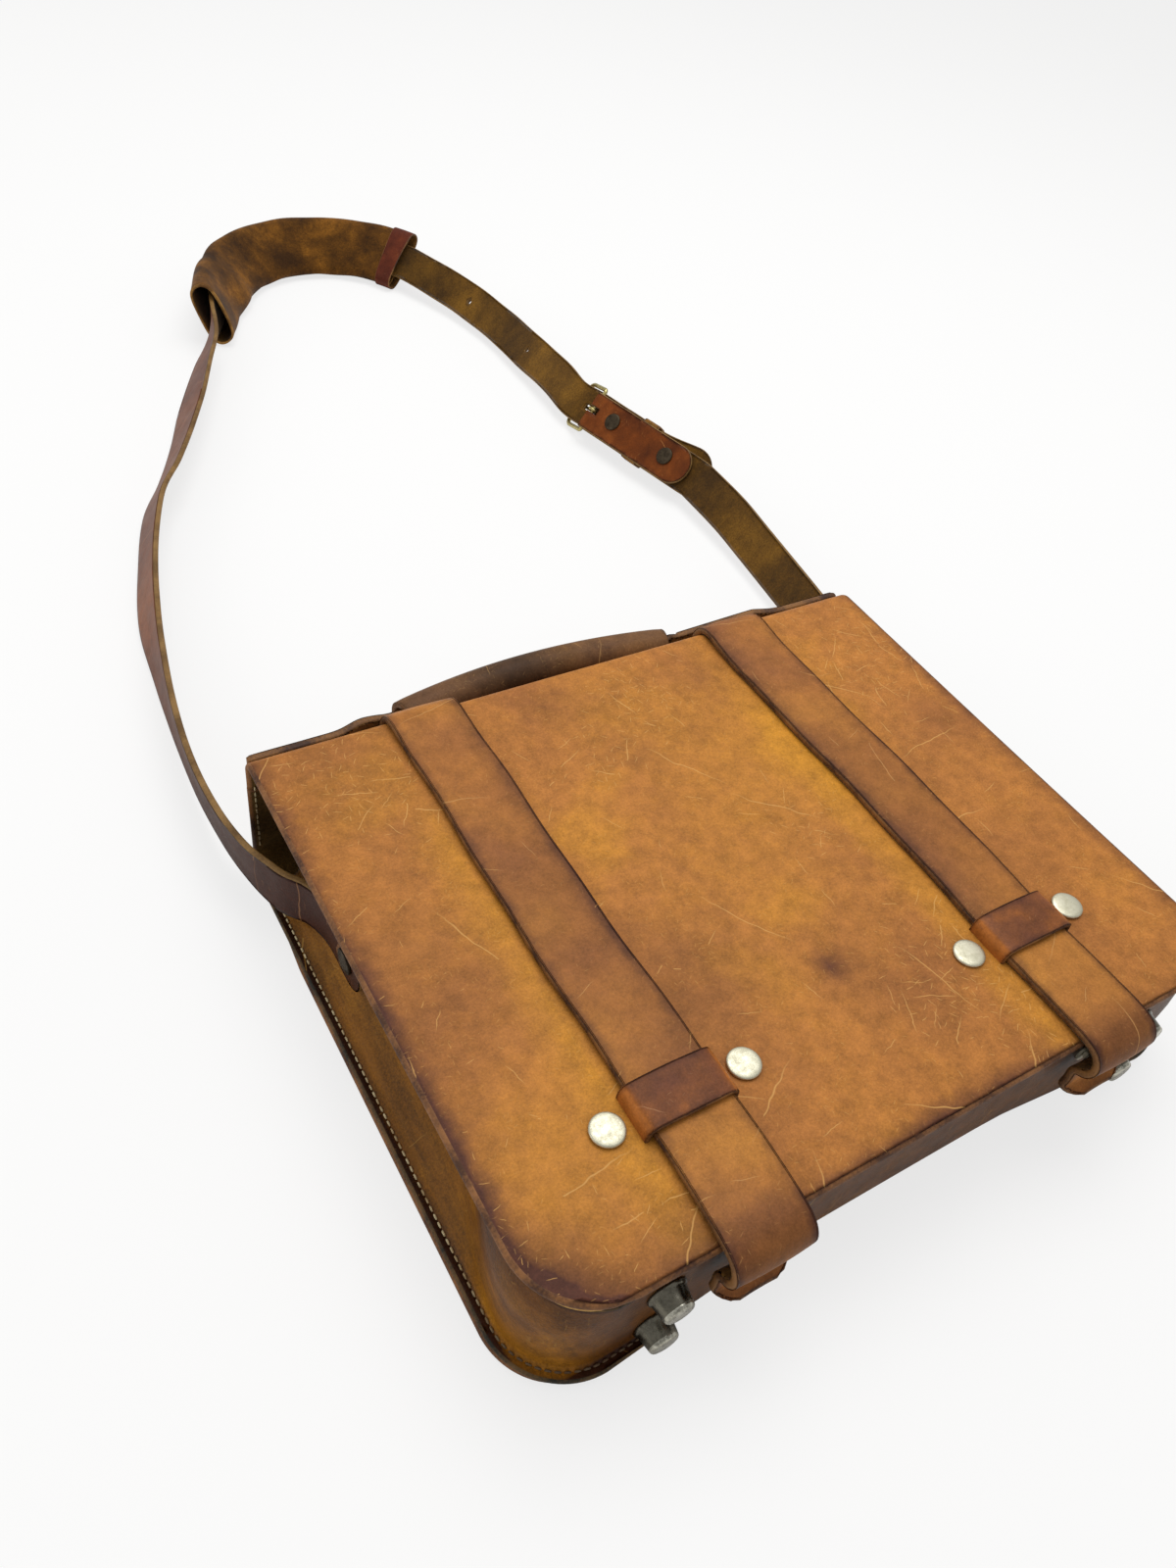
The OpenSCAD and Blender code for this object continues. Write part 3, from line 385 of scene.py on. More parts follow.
def flap_paint(points):
    """Golden bands beside the straps, haze at the top left, darker round the loops, painted shade round the
    rivets, one stain.
    """
    x, y, z = points.T
    golden = spots(points, (0.5, -150, -95, 60), (0.45, 60, 60, 90), (0.35, 0, 110, 60), (0.25, 0, 0, 80))
    dark = spots(points, (0.9, 1.8, -68.6, 13), (0.3, -150, 120, 80), (0.22, -152, 6, 56), (0.3, 6, -62, 5),
                 (0.4, -62, -48, 55), (0.3, -8, 74, 14), (0.12, 22, -62, 60), (0.9, -178, -142, 42),
                 (0.35, -120, -150, 40))
    worn = spots(points, (0.9, 16, 116, 42), (0.6, -25, 82, 34), (0.7, 46, 2, 30), (0.8, 58, -102, 60),
                 (0.6, -150, 116, 60), (0.7, 160, 96, 60), (0.25, -148, -128, 50))
    # purple-brown burnish along the handled left edge and the lower edge
    low = np.clip((70 - y) / 120, 0, 1)
    dark += 0.8 * low * np.exp(-np.clip(x + 186, 0, 400) / 9) + 0.75 * np.exp(-np.clip(y + 150, 0, 400) / 6)
    worn += 0.2 * np.exp(-np.clip(x + 184, 0, 400) / 14)
    for loop_x in (-strap_x, strap_x):
        gap_left = loop_x - strap_w / 2 - x
        golden += np.exp(-((gap_left - 7) / 9) ** 2) * np.clip((120 - y) / 60, 0.35, 1) * 0.75
        # darker round each keeper loop, and a ring of painted shade round each rivet head
        dark += spots(points, (0.25, loop_x, rivet_y - 4, 36), (0.45, loop_x - rivet_span / 2, rivet_y, 13),
                      (0.45, loop_x + rivet_span / 2, rivet_y, 13))
    return golden, dark, worn


def panel(profile, half_widths):
    """Grid over a profile of (y, z) points, each row as wide as its half width."""
    share = spread(-1, 1, 0.016, 0.05, 0.1)
    return np.array([[(u * w, y, z) for u in share] for (y, z), w in zip(profile, half_widths)])


both_sides = ((-1, "left"), (1, "right"))
fold_r = 6.0
flap_z = 68.0
back_z = cover_t / 2
flap_corner_r, back_corner_r = 36.0, 34.0
top_wall_y = fold_y + fold_r
flap_rows = ([(top_wall_y, z) for z in np.linspace(seam_z, flap_z - fold_r, 5)[:-1]]
             + turn(fold_y, flap_z - fold_r, fold_r, 0, 90, 9)
             + [(y, flap_z) for y in spread(bottom_y, fold_y, 1.5, 4.0, 36)[::-1][1:]])
flap_widths = [rounded(y - bottom_y, flap_half_w, flap_corner_r) if z > flap_z - 1 else flap_half_w
               for y, z in flap_rows]
flap_grid = panel(flap_rows, flap_widths)
# a gentle sag, which dies out towards the fold
lying = flap_grid[..., 2] > flap_z - 1
sag = 0.5 * np.cos(flap_grid[..., 0] / 62) * np.cos((flap_grid[..., 1] + 20) / 75)
flap_grid[..., 2] += (np.where(lying, np.minimum(sag, 0.35) - 0.35, 0)
                      * np.clip((fold_y - flap_grid[..., 1]) / 30, 0, 1))
flap = leather("cover_flap", flap_grid, cover_t, 1.9, flap_paint)
dress(flap, tan_grain, tan_cut, tan_flesh)
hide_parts("flap", "top_wall")
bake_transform(flap)

back_rows = ([(y, back_z) for y in spread(bottom_y, fold_y, 1.5, 5.0, 34)[:-1]]
             + turn(fold_y, back_z + fold_r, fold_r, -90, 0, 9)
             + [(top_wall_y, z) for z in np.linspace(back_z + fold_r, seam_z - 0.1, 12)[1:]])
# it narrows by 5 mm over its upper half
back_widths = [rounded(y - bottom_y, back_half_w, back_corner_r) - 5 * np.clip(2 * y / fold_y - 1, 0, 1)
               for y, z in back_rows]
back_grid = panel(back_rows, back_widths)
# the lower edge bows inwards between the corners
back_grid[..., 1] += (8 * np.clip(1 - (back_grid[..., 0] / 140) ** 4, 0, 1)
                      * np.clip(1 - (back_grid[..., 1] - bottom_y) / 40, 0, 1))
back = leather("cover_back", back_grid, cover_t, 1.3)
dress(back, tan_grain, tan_cut, tan_flesh)
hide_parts("back_panel")
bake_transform(back)


# ---------------------------------------------------------------- closing straps
# Two bridle straps run from the middle of the top wall over the fold and down the flap, under
# their keepers and round its lower edge to the snaps. They are cut, creased along both edges
# and lie proud of the flap, lifted a little where they cross the fold.

strap_t = 4.0
strap_z = flap_z + strap_t
# dressing takes this much off the cut side
skived = 0.2
strap_grain = grain_leather("creased_bridle_leather", "#A36833", "#B97B35", "#8A5634", "#4C2D20", "#C9965A",
                            roughness=0.46, wear=0.8, patch=45, edge_reach=4.6, mottle=0.3)
strap_cut = cut_edge_leather("burnished_strap_edge", "#3E2618", "#8A5F33")
strap_flesh = flesh_leather("strap_flesh_side", "#4A3318", "#7C5627", "#9A6F35")


def smooth_line(stations, steps):
    """Catmull-Rom curve through stations of any size, as the part's own curves are drawn."""
    p = np.array(stations, float)
    p = np.concatenate([p[:1], p, p[-1:]])
    t = np.linspace(0, 1, steps, endpoint=False)[:, None]
    out = [0.5 * (2 * b + (c - a) * t + (2 * a - 5 * b + 4 * c - d) * t ** 2
                  + (3 * b - a - 3 * c + d) * t ** 3)
           for a, b, c, d in zip(p[:-3], p[1:-2], p[2:-1], p[3:])]
    return np.concatenate(out + [p[-1:]])


def eased(count):
    """Shares from -1 to 1, closer together towards both ends."""
    return np.sin(np.linspace(-math.pi / 2, math.pi / 2, count))


def run_along(line):
    """Distance of each point of a line from its start."""
    return np.concatenate([[0], np.linalg.norm(np.diff(line[:, :3], axis=0), axis=1).cumsum()])


def line_at(line, distances):
    run = run_along(line)
    return np.stack([np.interp(distances, run, column) for column in line.T], -1)


def even_line(line, step):
    """The same line with points about step apart."""
    length = run_along(line)[-1]
    return line_at(line, np.linspace(0, length, max(int(length / step), 4)))


def lengthwise_strap(x, line, half_widths, crown):
    """Grid of a strap whose mid-line is (y, z) points at x, arched a little across its width."""
    share = eased(17)
    along = unit(np.gradient(line, axis=0))
    normal = np.stack([-along[:, 1], along[:, 0]], -1)
    rows = []
    for (y, z), (ny, nz), w in zip(line, normal, half_widths):
        arch = crown * (1 - share ** 2)
        waver = 0.7 * math.sin(y / 31 + x) + 0.35 * math.sin(y / 11)
        rows.append(np.stack([x + share * w + waver, y - ny * arch, z - nz * arch], -1))
    return np.array(rows)


def strap_paint(points):
    """Darker in a band beside the left edge and halfway down, golden towards the keeper."""
    y = points[:, 1]
    across = np.abs(points[:, 0]) - strap_x
    dark = np.exp(-((across + 15) / 4) ** 2) * 0.25 + 0.2 * np.exp(-((y - 5) / 55) ** 2)
    return np.clip((-30 - y) / 60, 0, 1) * 0.3, dark


# its mid-line from the upper end on the top wall, bridged over the fold, to under the keeper
over_wall = [(151.0, 24.0), (151.0, 34.0), (151.0, 46.0), (151.3, 55.0)]
over_bridge = [(150.6, 64.0), (146.5, 70.6), (139.0, 73.2), (128.0, 72.8)]
over_flap = [(y, strap_z) for y in (112, 60, 0, -50, -80, rivet_y)]
over_line = even_line(smooth_line(over_wall + over_bridge + over_flap, 8), 3.0)
for side, where in both_sides:
    grid = lengthwise_strap(side * strap_x, over_line, [strap_w / 2] * len(over_line), 0.5)
    closing = leather("closing_strap_" + where, grid, strap_t - skived, 1.4, strap_paint)
    dress(closing, strap_grain, strap_cut, strap_flesh)
    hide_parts("closing_strap_" + where, "strap_top_" + where)
    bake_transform(closing)

# the tails bulge out over the flap's edge, then tuck in to the snaps and flare at their tips
snap_y = -152.3
snap_z = 47.0
tip_r = 13.0
tail_top = [(-91.4, 72.0), (-110, 72.1), (-130, 72.3), (-145, 72.5)]
tail_roll = [(-154.2, 70.9), (-158.3, 66.5), (-158.9, 61.5), (-156.6, 57.0)]
tail_tuck = [(snap_y, 54.0), (snap_y, snap_z), (snap_y, 40.5), (snap_y - 2.8, 38.0), (snap_y - 7.0, 36.0)]
tail_line = even_line(smooth_line(tail_top + tail_roll + tail_tuck, 8), 1.6)
tail_run = run_along(tail_line)
tail_half = rounded(tail_run[-1] - tail_run + 0.3, strap_w / 2, tip_r)


def tail_paint(points):
    """Pale and golden below the keeper, darker towards the roll and the tip."""
    y, z = points[:, 1], points[:, 2]
    golden = np.clip((y + 150) / 30, 0, 1) * 0.55
    dark = np.clip((-y - 138) / 14, 0, 1) * np.clip((z - 50) / 15, 0.2, 1) * 0.55
    return golden, dark


for side, where in both_sides:
    grid = lengthwise_strap(side * strap_x, tail_line, tail_half, 0.7)
    tail = leather("strap_tail_" + where, grid, strap_t - skived, 1.4, tail_paint)
    dress(tail, strap_grain, strap_cut, strap_flesh)
    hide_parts("strap_tail_" + where)
    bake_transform(tail)


# ---------------------------------------------------------------- keeper loops
# A short band of thin leather goes over each strap, down through two slits in the flap and out
# to the rivets underneath. Its top is dark from handling and its turned-down ends are orange.

loop_w = 22.0
loop_t = 2.5
loop_grain = grain_leather("handled_keeper_leather", "#7E4B2B", "#A5622A", "#6C402C", "#3F241C", "#B4835A",
                           roughness=0.42, wear=0.4, patch=14, edge_reach=2.6)


def keeper_paint(points):
    """Orange on the turned-down ends, dark towards the two cut edges."""
    across = np.abs(np.abs(points[:, 0]) - strap_x)
    return np.clip((across - 18.5) / 1.5, 0, 1) * 1.2, np.clip((17 - across) / 9, 0, 0.15)


def keeper_grid(x):
    half = [(38.5, 64.6), (25.5, 64.6), (22.2, 65.4), (20.9, 68.5), (20.6, 72.5), (19.6, 75.2),
            (16.0, 76.3), (8.0, 76.7)]
    route = [(-a, z) for a, z in half] + [(0.0, 76.8)] + [(a, z) for a, z in half[::-1]]
    line = even_line(smooth_line(route, 6), 1.2)
    across = eased(13)
    swell = 0.25 * np.exp(-(line[:, 0] / 14) ** 2)
    return np.array([[(x + px, rivet_y + v * (loop_w / 2 + grow), pz + 0.35 * (1 - v ** 2)) for v in across]
                     for (px, pz), grow in zip(line, swell)])


for side, where in both_sides:
    loop = leather("keeper_loop_" + where, keeper_grid(side * strap_x), loop_t, 1.0, keeper_paint)
    dress(loop, loop_grain, strap_cut, strap_flesh)
    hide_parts("keeper_loop_" + where)
    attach(loop, "flap")


# ---------------------------------------------------------------- rivets, snaps and feet
# Nickel-plated rivets with broad, nearly flat heads hold the keepers. The snaps are of the same
# metal. Four turned feet, tarnished nearly black and painted pale on their domed ends as a highlight,
# are riveted to the bottom wall.

def ring_faces(rings, sides, round_trip=False):
    """Faces between rings of points; a round trip joins the last ring to the first."""
    return [(k * sides + a, k * sides + b, n * sides + b, n * sides + a)
            for k in range(rings if round_trip else rings - 1) for n in [(k + 1) % rings]
            for a in range(sides) for b in [(a + 1) % sides]]


def circle(first, second, sides):
    """Points of a unit circle that turns from the first direction to the second."""
    angles = np.linspace(0, math.tau, sides, endpoint=False)[:, None]
    return np.cos(angles) * first + np.sin(angles) * second


def turned(profile, centre, axis, sides=48):
    """Points and faces of a profile (radius, height) turned about an axis through centre."""
    axis = unit(np.array(axis, float))
    first = unit(np.cross(axis, [0.3, 0.5, 0.81]))
    ring = circle(first, np.cross(axis, first), sides)
    points = np.concatenate([np.array(centre) + r * ring + h * axis for r, h in profile])
    return points, ring_faces(len(profile), sides)


def joined(name, shapes, material):
    """One mesh from several (points, faces) shapes."""
    points, faces, start = [], [], 0
    for shape_points, shape_faces in shapes:
        points.append(shape_points)
        faces += [tuple(i + start for i in face) for face in shape_faces]
        start += len(shape_points)
    piece = add_mesh(name, np.concatenate(points), faces)
    piece.data.materials.append(material)
    return piece


def plated_metal(name, clean, dull, roughness, spots=0.5, dents=0.12):
    """Plated or bare metal with dull patches of a few millimetres and fine rubbing marks."""
    material, node = new_material(name)
    place = node("TexCoord").outputs["Object"]
    patches = node("TexNoise", {"Vector": place, "Scale": 1000 / 3.5, "Detail": 5, "Roughness": 0.65})
    specks = node("TexNoise", {"Vector": place, "Scale": 1000 / 0.5, "Detail": 2})
    both = node("Math", specks, 0.35, patches, operation="MULTIPLY_ADD")
    share = node("MapRange", both, 0.6, 0.85, 0, spots)
    colour = node("MixRGB", share, clean, dull)
    rough = node("MapRange", both, 0.4, 0.9, roughness - 0.08, roughness + 0.2)
    bump = node("Bump", {"Strength": dents, "Distance": 0.0003, "Height": patches})
    return finished(material, {"Base Color": colour, "Roughness": rough, "Normal": bump, "Metallic": 1.0})


nickel = plated_metal("nickel_plate", "#D0CCB6", "#B0AB92", 0.42, 0.5)
brown_brass = plated_metal("antiqued_brass", "#4E4436", "#2A221B", 0.45, 0.7)
wire_brass = plated_metal("drawn_brass_wire", "#C6B97E", "#7A6A3A", 0.26, 0.6)
dull_plate = plated_metal("tarnished_foot_plate", "#6E6A5E", "#2C2924", 0.2, 0.55, 0.01)
# pale end caps for the feet: a painted highlight
foot_end_highlight_plate = plated_metal("foot_end_painted_highlight", "#C4C1B2", "#55524A", 0.18, 0.8, 0.02)


def head_profile(radius, height, rim=0.35):
    """Low domed head: rolled rim, then a nearly flat crown."""
    edge = [(radius - rim, -0.05), (radius, 0.35 * height), (radius - 0.2 * rim, 0.55 * height),
            (radius - 1.2 * rim, 0.72 * height)]
    crown = [(radius * math.cos(a) * 0.9, height * (0.74 + 0.26 * math.sin(a)))
             for a in np.linspace(0.15, math.pi / 2, 8)]
    return edge + crown


def dress_cad(name, material):
    """Gives a CAD node that stays its own finish."""
    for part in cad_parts[name].material_slots:
        part.material = material


flap_top = 70.0
rivet_head_r, cap_r, strap_head_r = 7.5, 7.0, 6.5
rivet_xs = [side * strap_x + half * rivet_span for side in (-1, 1) for half in (-0.5, 0.5)]
heads = [turned(head_profile(rivet_head_r, 2.0), (x, rivet_y, flap_top), (0, 0, 1)) for x in rivet_xs]
rivets = joined("flap_rivets", heads, nickel)
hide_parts("flap_rivets")
shank_z, shank_profile = 62, [(2, 0), (2, 9)]
shanks = [turned(shank_profile, (x, rivet_y, shank_z), (0, 0, 1), 16) for x in rivet_xs]
rivet_shanks = joined("flap_rivet_shanks", shanks, nickel)
for piece in (rivets, rivet_shanks):
    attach(piece, "flap")

cap_face = snap_y - strap_t / 2
cap_back = snap_y + strap_t / 2
socket_profile = [(0.1, 0), (5.5, 0), (5.5, 1.0), (4.2, 1.2), (3.4, 0.6)]
for side, where in both_sides:
    face = turned(head_profile(cap_r, 3.0, 0.6), (side * strap_x, cap_face, snap_z), (0, -1, 0))
    socket = turned(socket_profile, (side * strap_x, cap_back, snap_z), (0, 1, 0), 32)
    cap = joined("snap_cap_" + where, [face, socket], nickel)
    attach(cap, "tail_" + where)
    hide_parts("snap_cap_" + where)

wall_y = -146.0
foot_x = 132
foot_zs = (15, 46)
foot_profile = [(8.5, 0), (8.65, 0.6), (8.4, 1.3), (7.9, 1.7), (7.65, 2.3), (7.1, 5.4), (6.7, 8.0),
                (6.6, 8.3), (0.05, 8.4)]
foot_end_profile = [(6.62, 7.9), (6.6, 8.7), (6.35, 9.4), (5.8, 9.9), (4.9, 10.15), (3.4, 10.3), (0.05, 10.4)]
feet_at = [(x, wall_y, z) for x in (-foot_x, foot_x) for z in foot_zs]
feet = joined("bottom_feet", [turned(foot_profile, place, (0, -1, 0)) for place in feet_at], dull_plate)
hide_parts("bottom_feet")
end_shapes = [turned(foot_end_profile, place, (0, -1, 0)) for place in feet_at]
foot_ends = joined("bottom_foot_ends", end_shapes, foot_end_highlight_plate)
for piece in (feet, foot_ends):
    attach(piece, "bag")

for cad_name in ("flap_rivet_washers", "snap_studs"):
    dress_cad(cad_name, nickel)
for cad_name in ("foot_washers", "snap_stud_washers", "anchor_rivets", "anchor_washers", "handle_rivets",
             "handle_rivet_washers", "strap_rivet_washers"):
    dress_cad(cad_name, brown_brass)


# ---------------------------------------------------------------- gusset and front panel
# One long strip of glazed leather is sewn flange to flange on the back panel, runs down one side,
# along the bottom and up the other, and its sides are pinched inwards. The front panel is laid
# on its front edge, behind the flap. Waxed linen thread in a groove holds the back flange.

wall_x = 184.0
gusset_t = 3.0
gusset_corner_r = 30.0
gusset_pinch = 16.0
mouth_y = 118.0
front_z = 57.0
stitch_pitch = 3.8

# its tones are kept dark partly as painted shade from the overhanging flap
gusset_grain = grain_leather("glazed_gusset_leather", "#75460F", "#9A661C", "#5A330C", "#34190B", "#B08440",
                             roughness=0.4, wear=0.6, patch=30, edge_reach=3.0, gloss=0.16, mottle=0.6,
                             stretch=0.16)
gusset_cut = cut_edge_leather("raw_gusset_edge", "#221F12", "#6A4E28")


def gusset_stations():
    """Places round the gusset: x, y, direction to the inside, shares of pinch and flange, foot's lean."""
    centre_x, centre_y = wall_x - gusset_corner_r, wall_y + gusset_corner_r
    side_y = np.linspace(mouth_y, centre_y, 80)
    rise = np.clip((side_y - centre_y) / 70, 0, 1)
    stations = [(-wall_x, y, 0.0, e * e * (3 - 2 * e), 1.0, 0.0) for y, e in zip(side_y, rise)]
    for a in np.linspace(0, math.pi / 2, 24)[1:]:
        stations.append((-centre_x - gusset_corner_r * math.cos(a),
                         centre_y - gusset_corner_r * math.sin(a), a, 0.0, 1.0, 0.0))
    for x in np.linspace(-centre_x, 0, 60)[1:]:
        bowed = 8 * (1 - (x / 150) ** 2) - 2.2
        foot = max(bowed, 0) * max(1 - (x / 116.5) ** 4, 0)
        stations.append((x, wall_y, math.pi / 2, 0.0, np.interp(-x, [112, 127, 154], [0, 0.72, 1]), foot))
    return stations + [(-x, y, math.pi - a, *rest) for x, y, a, *rest in stations[-2::-1]]


def gusset_profile():
    """Inward offset, height and the shares of pinch and front inset, from the flange's edge up."""
    flange = [(-5.6, 5.6), (-4.6, 5.6), (-3.4, 5.6), (-2.3, 5.3), (-1.6, 5.2), (-0.9, 5.5), (0.2, 6.4),
              (0.9, 7.6), (1.35, 9.2)]
    rows = [(off, z, 0.0 if z < 6 else 0.62 * ((z - 4) / 8.8) ** 1.5, 0.0) for off, z in flange]
    for z in np.linspace(11, front_z + 0.2, 17):
        share = (z - 4) / (front_z - 4)
        pinch = np.interp(share, [0, 1 / 6, 1 / 3, 2 / 3, 5 / 6, 1], [0, 0.62, 1, 1, 0.7, 0])
        inset = np.interp(share, [0, 2 / 3, 5 / 6, 1], [0, 0, 0.4, 1])
        rows.append((1.5, z, pinch, inset))
    return rows


def gusset_at(station, offset, z, pinch, inset):
    x, y, inwards, share, flange, foot = station
    if offset < 1.4:
        # along the bottom the flange narrows away and the wall stands straight on the back
        offset, z = (offset + (1.5 - offset) * (1 - flange),
                     z + (4.1 + (offset + 5.6) * 0.73 - z) * (1 - flange))
    inward = (offset + share * pinch * gusset_pinch + abs(math.cos(inwards)) * inset * 6.0
              + foot * np.interp(z, [4, 12.8, 21.7], [1, 0.4, 0]))
    return (x + inward * math.cos(inwards), y + inward * math.sin(inwards), z)


def gusset_paint(points):
    """Gold on the sides near the seam; painted shade towards the flap and along the bottom, and darker on the
    flange.
    """
    x, y, z = points.T
    side = np.clip((np.abs(x) - 150) / 20, 0, 1)
    golden = side * np.clip((34 - z) / 22, 0, 1) * 0.5 + spots(points, (0.25, -176, -138, 30))
    flange = np.clip(np.maximum(np.abs(x) - wall_x - 0.8, wall_y - y) / 1.2, 0, 1) * (z < 8)
    # painted shade under the flap's overhang and on the bottom wall, plus a darker flange
    dark = side * np.clip((z - 24) / 26, 0, 1) * 0.55 + 0.8 * flange + (1 - side) * 0.5
    return golden, dark


stations = gusset_stations()
gusset_rows = gusset_profile()
gusset_grid = np.array([[gusset_at(st, *row) for row in gusset_rows] for st in stations])
gusset = leather("gusset", gusset_grid, gusset_t - skived, 1.0, gusset_paint)
dress(gusset, gusset_grain, gusset_cut, tan_flesh)
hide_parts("gusset")
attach(gusset, "bag")

front_half_w = 178.8
front_bottom = -145.4
front_corner_r = 27.0
front_mid_z, hem_z = 58.8, 56.2
front_rows = [(y, front_mid_z) for y in spread(front_bottom, mouth_y, 1.5, 6.0, 30)[::-1]]
front_widths = [rounded(y - front_bottom, front_half_w, front_corner_r) for y, z in front_rows]
front = leather("front_panel", panel(front_rows, front_widths), 3.4, 1.2)
pale_cut = cut_edge_leather("pale_front_edge", "#8A5E26", "#C99A48")
dress(front, tan_grain, pale_cut, tan_flesh)
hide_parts("front_panel")
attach(front, "bag")
hem_w, hem_t, hem_edge_r = 14, 1.4, 0.6
hem_half_w = front_half_w - 10
hem_grid = np.array([[(x, y, hem_z) for x in (-hem_half_w, -60, 60, hem_half_w)]
                     for y in np.linspace(mouth_y, mouth_y - hem_w, 5)])
front_hem = leather("front_panel_hem", hem_grid, hem_t, hem_edge_r)
dress(front_hem, tan_flesh, strap_cut, tan_flesh)
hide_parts("front_panel_hem")
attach(front_hem, "bag")

# the folded hems inside the gusset's two top ends
hem_station = [(-wall_x, y, 0.0, 1.0, 1.0, 0.0) for y in np.linspace(mouth_y, mouth_y - hem_w, 6)]
hem_rows = [(off + 2.4, z, p, i) for off, z, p, i in gusset_rows if z > 7]
left_hem = np.array([[gusset_at(st, *row) for row in hem_rows] for st in hem_station])
for side, where in both_sides:
    hem_grid = left_hem if side < 0 else (left_hem * (-1, 1, 1))[::-1]
    hem = leather("gusset_hem_" + where, hem_grid, hem_t, hem_edge_r)
    dress(hem, gusset_grain, gusset_cut, tan_flesh)
    if side < 0:
        # the left one stands for the solid that is both
        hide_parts("gusset_hems")
    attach(hem, "bag")


def stitch_run(name, line, up, radius=0.5, length=2.9):
    """A row of sewn stitches along a line of points, each a short bowed length of thread."""
    line, up = np.array(line, float), np.array(up, float)
    full_length = run_along(line)[-1]
    count = int(full_length / stitch_pitch)
    shapes = []
    for middle in (np.arange(count) + 0.5) * full_length / count:
        start, end = line_at(line, middle + np.array([-length, length]) / 2)
        side = np.cross(unit(end - start), up)
        rings = []
        for share, full in ((0, 0.35), (0.12, 0.85), (0.35, 1), (0.65, 1), (0.88, 0.85), (1, 0.35)):
            bow = up * (0.5 - 4 * (share - 0.5) ** 2 * 0.9) * radius
            rings.append(start * (1 - share) + end * share + bow + radius * full * circle(side, up, 8))
        shapes.append((np.concatenate(rings), ring_faces(len(rings), 8)))
    return joined(name, shapes, thread)


thread, node = new_material("waxed_linen_thread")
place = node("Attribute", attribute_name="rest_mm").outputs["Vector"]
twist = node("TexWave", {"Vector": place, "Scale": 1.2, "Distortion": 2.0}, bands_direction="DIAGONAL")
soiled = node("TexNoise", {"Vector": place, "Scale": 1 / 9, "Detail": 3})
soil = node("MapRange", soiled, 0.4, 0.7)
thread_colour = node("MixRGB", soil, "#DCCBA0", "#A88A5C")
# waxed over and worn down round the lower corners
up_bag = node("SeparateXYZ", place).outputs["Y"]
lower = node("MapRange", up_bag, -84, -126, 0, 0.92)
thread_colour = node("MixRGB", lower, thread_colour, "#4A2E14")
thread_bump = node("Bump", {"Strength": 0.5, "Distance": 0.0002, "Height": twist})
finished(thread, {"Base Color": thread_colour, "Roughness": 0.6, "Normal": thread_bump})

# the seam shows on the flange of both sides and corners, and fades out along the bottom
seam_rows = []
for side, where in both_sides:
    sewn = np.array([gusset_at(st, -2.0, 5.25, 0, 0) for st in stations if st[4] > 0.7 and st[0] * side > 0])
    seam_rows.append(stitch_run("back_seam_stitches_" + where, sewn + (0, 0, 1.5), (0, 0, 1)))
    under = sewn * (1, 1, 0) - (0, 0, 0.05)
    seam_rows.append(stitch_run("back_seam_understitches_" + where, under, (0, 0, -1), 0.4))
front_sewn = [gusset_at(st, 4.5, 60.4, 0, 1) for st in stations]
seam_rows.append(stitch_run("front_seam_stitches", front_sewn, (0, 0, 1), 0.45))
for row in seam_rows:
    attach(row, "bag")
wall_sewn = [(-182, 144.8, z) for z in np.linspace(9, 53, 8)]
inner = stitch_run("top_wall_stitches", wall_sewn, (0, -1, 0), 0.45)
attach(inner, "top_wall")


# ---------------------------------------------------------------- carrying handle
# A wide strap runs along the top wall, over the closing straps, and narrows into a grip of thick
# leather rolled round a core. The middle of the grip is dark from the hand.

band_z = 49.0
grip_half = 82.5
grip_shift = -14.0
grip_r = 10.0
grip_rise = 8.5
grip_end_y = 164.5
arc_r = (grip_half ** 2 + grip_rise ** 2) / (2 * grip_rise)
arc_y = grip_end_y + grip_rise - arc_r
grip_angle = math.asin(grip_half / arc_r)

grip_grain = grain_leather("hand_worn_grip_leather", "#775436", "#93683A", "#684933", "#3B2A1E", "#B48C58",
                           roughness=0.5, wear=1.3, patch=26, edge_reach=2.0)
band_grain = grain_leather("handle_strap_leather", "#8C5A30", "#A86E34", "#70482C", "#38230F", "#BE8E52",
                           roughness=0.48, wear=0.7, patch=24, edge_reach=3.5)


def grip_point(angle, radius, turn_angle):
    """Point of the grip: along the arc by angle, at the given radius about its mid-line."""
    reach = arc_r + radius * math.cos(turn_angle)
    return (grip_shift + reach * math.sin(angle), arc_y + reach * math.cos(angle),
            band_z + radius * math.sin(turn_angle))


def grip_mesh():
    sides = 40
    around = np.linspace(0, math.tau, sides, endpoint=False)
    bulk = [(grip_angle * a, grip_r * (0.97 + 0.05 * math.cos(a * 1.5))) for a in np.linspace(-1, 1, 61)]
    slip = 9.0 / arc_r
    left = [(-grip_angle + slip, 6.4), (-grip_angle + 0.0006, 6.4), (-grip_angle, 6.9),
            (-grip_angle, grip_r * 0.90), (-grip_angle + 0.0009, grip_r * 0.95)]
    right = [(-a, r) for a, r in left[::-1]]
    stretch = left + bulk[2:-2] + right
    points = []
    for angle, radius in stretch:
        for turn_angle in around:
            # the butted seam lies along the underside, with a slight dip
            dip = 0.5 * math.exp(-((turn_angle - math.pi) / 0.12) ** 2) if radius > 8 else 0
            points.append(grip_point(angle, radius - dip, turn_angle))
    faces = ring_faces(len(stretch), sides)
    part_of = np.repeat([1] * 4 + [0] * (len(stretch) - 9) + [1] * 4, sides)
    x = np.array(points)[:, 0] - grip_shift
    worn = 0.85 * np.exp(-((x + 14) / 34) ** 2)
    edge = np.abs(np.abs(x) - grip_half)
    return add_mesh("handle_grip", points, faces, part_of, {"edge_mm": edge, "golden": x * 0, "dark": worn})


grip = grip_mesh()
dress(grip, grip_grain, strap_cut, strap_flesh)
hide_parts("handle_grip")
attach(grip, "handle")
dress_cad("handle_core", strap_flesh)


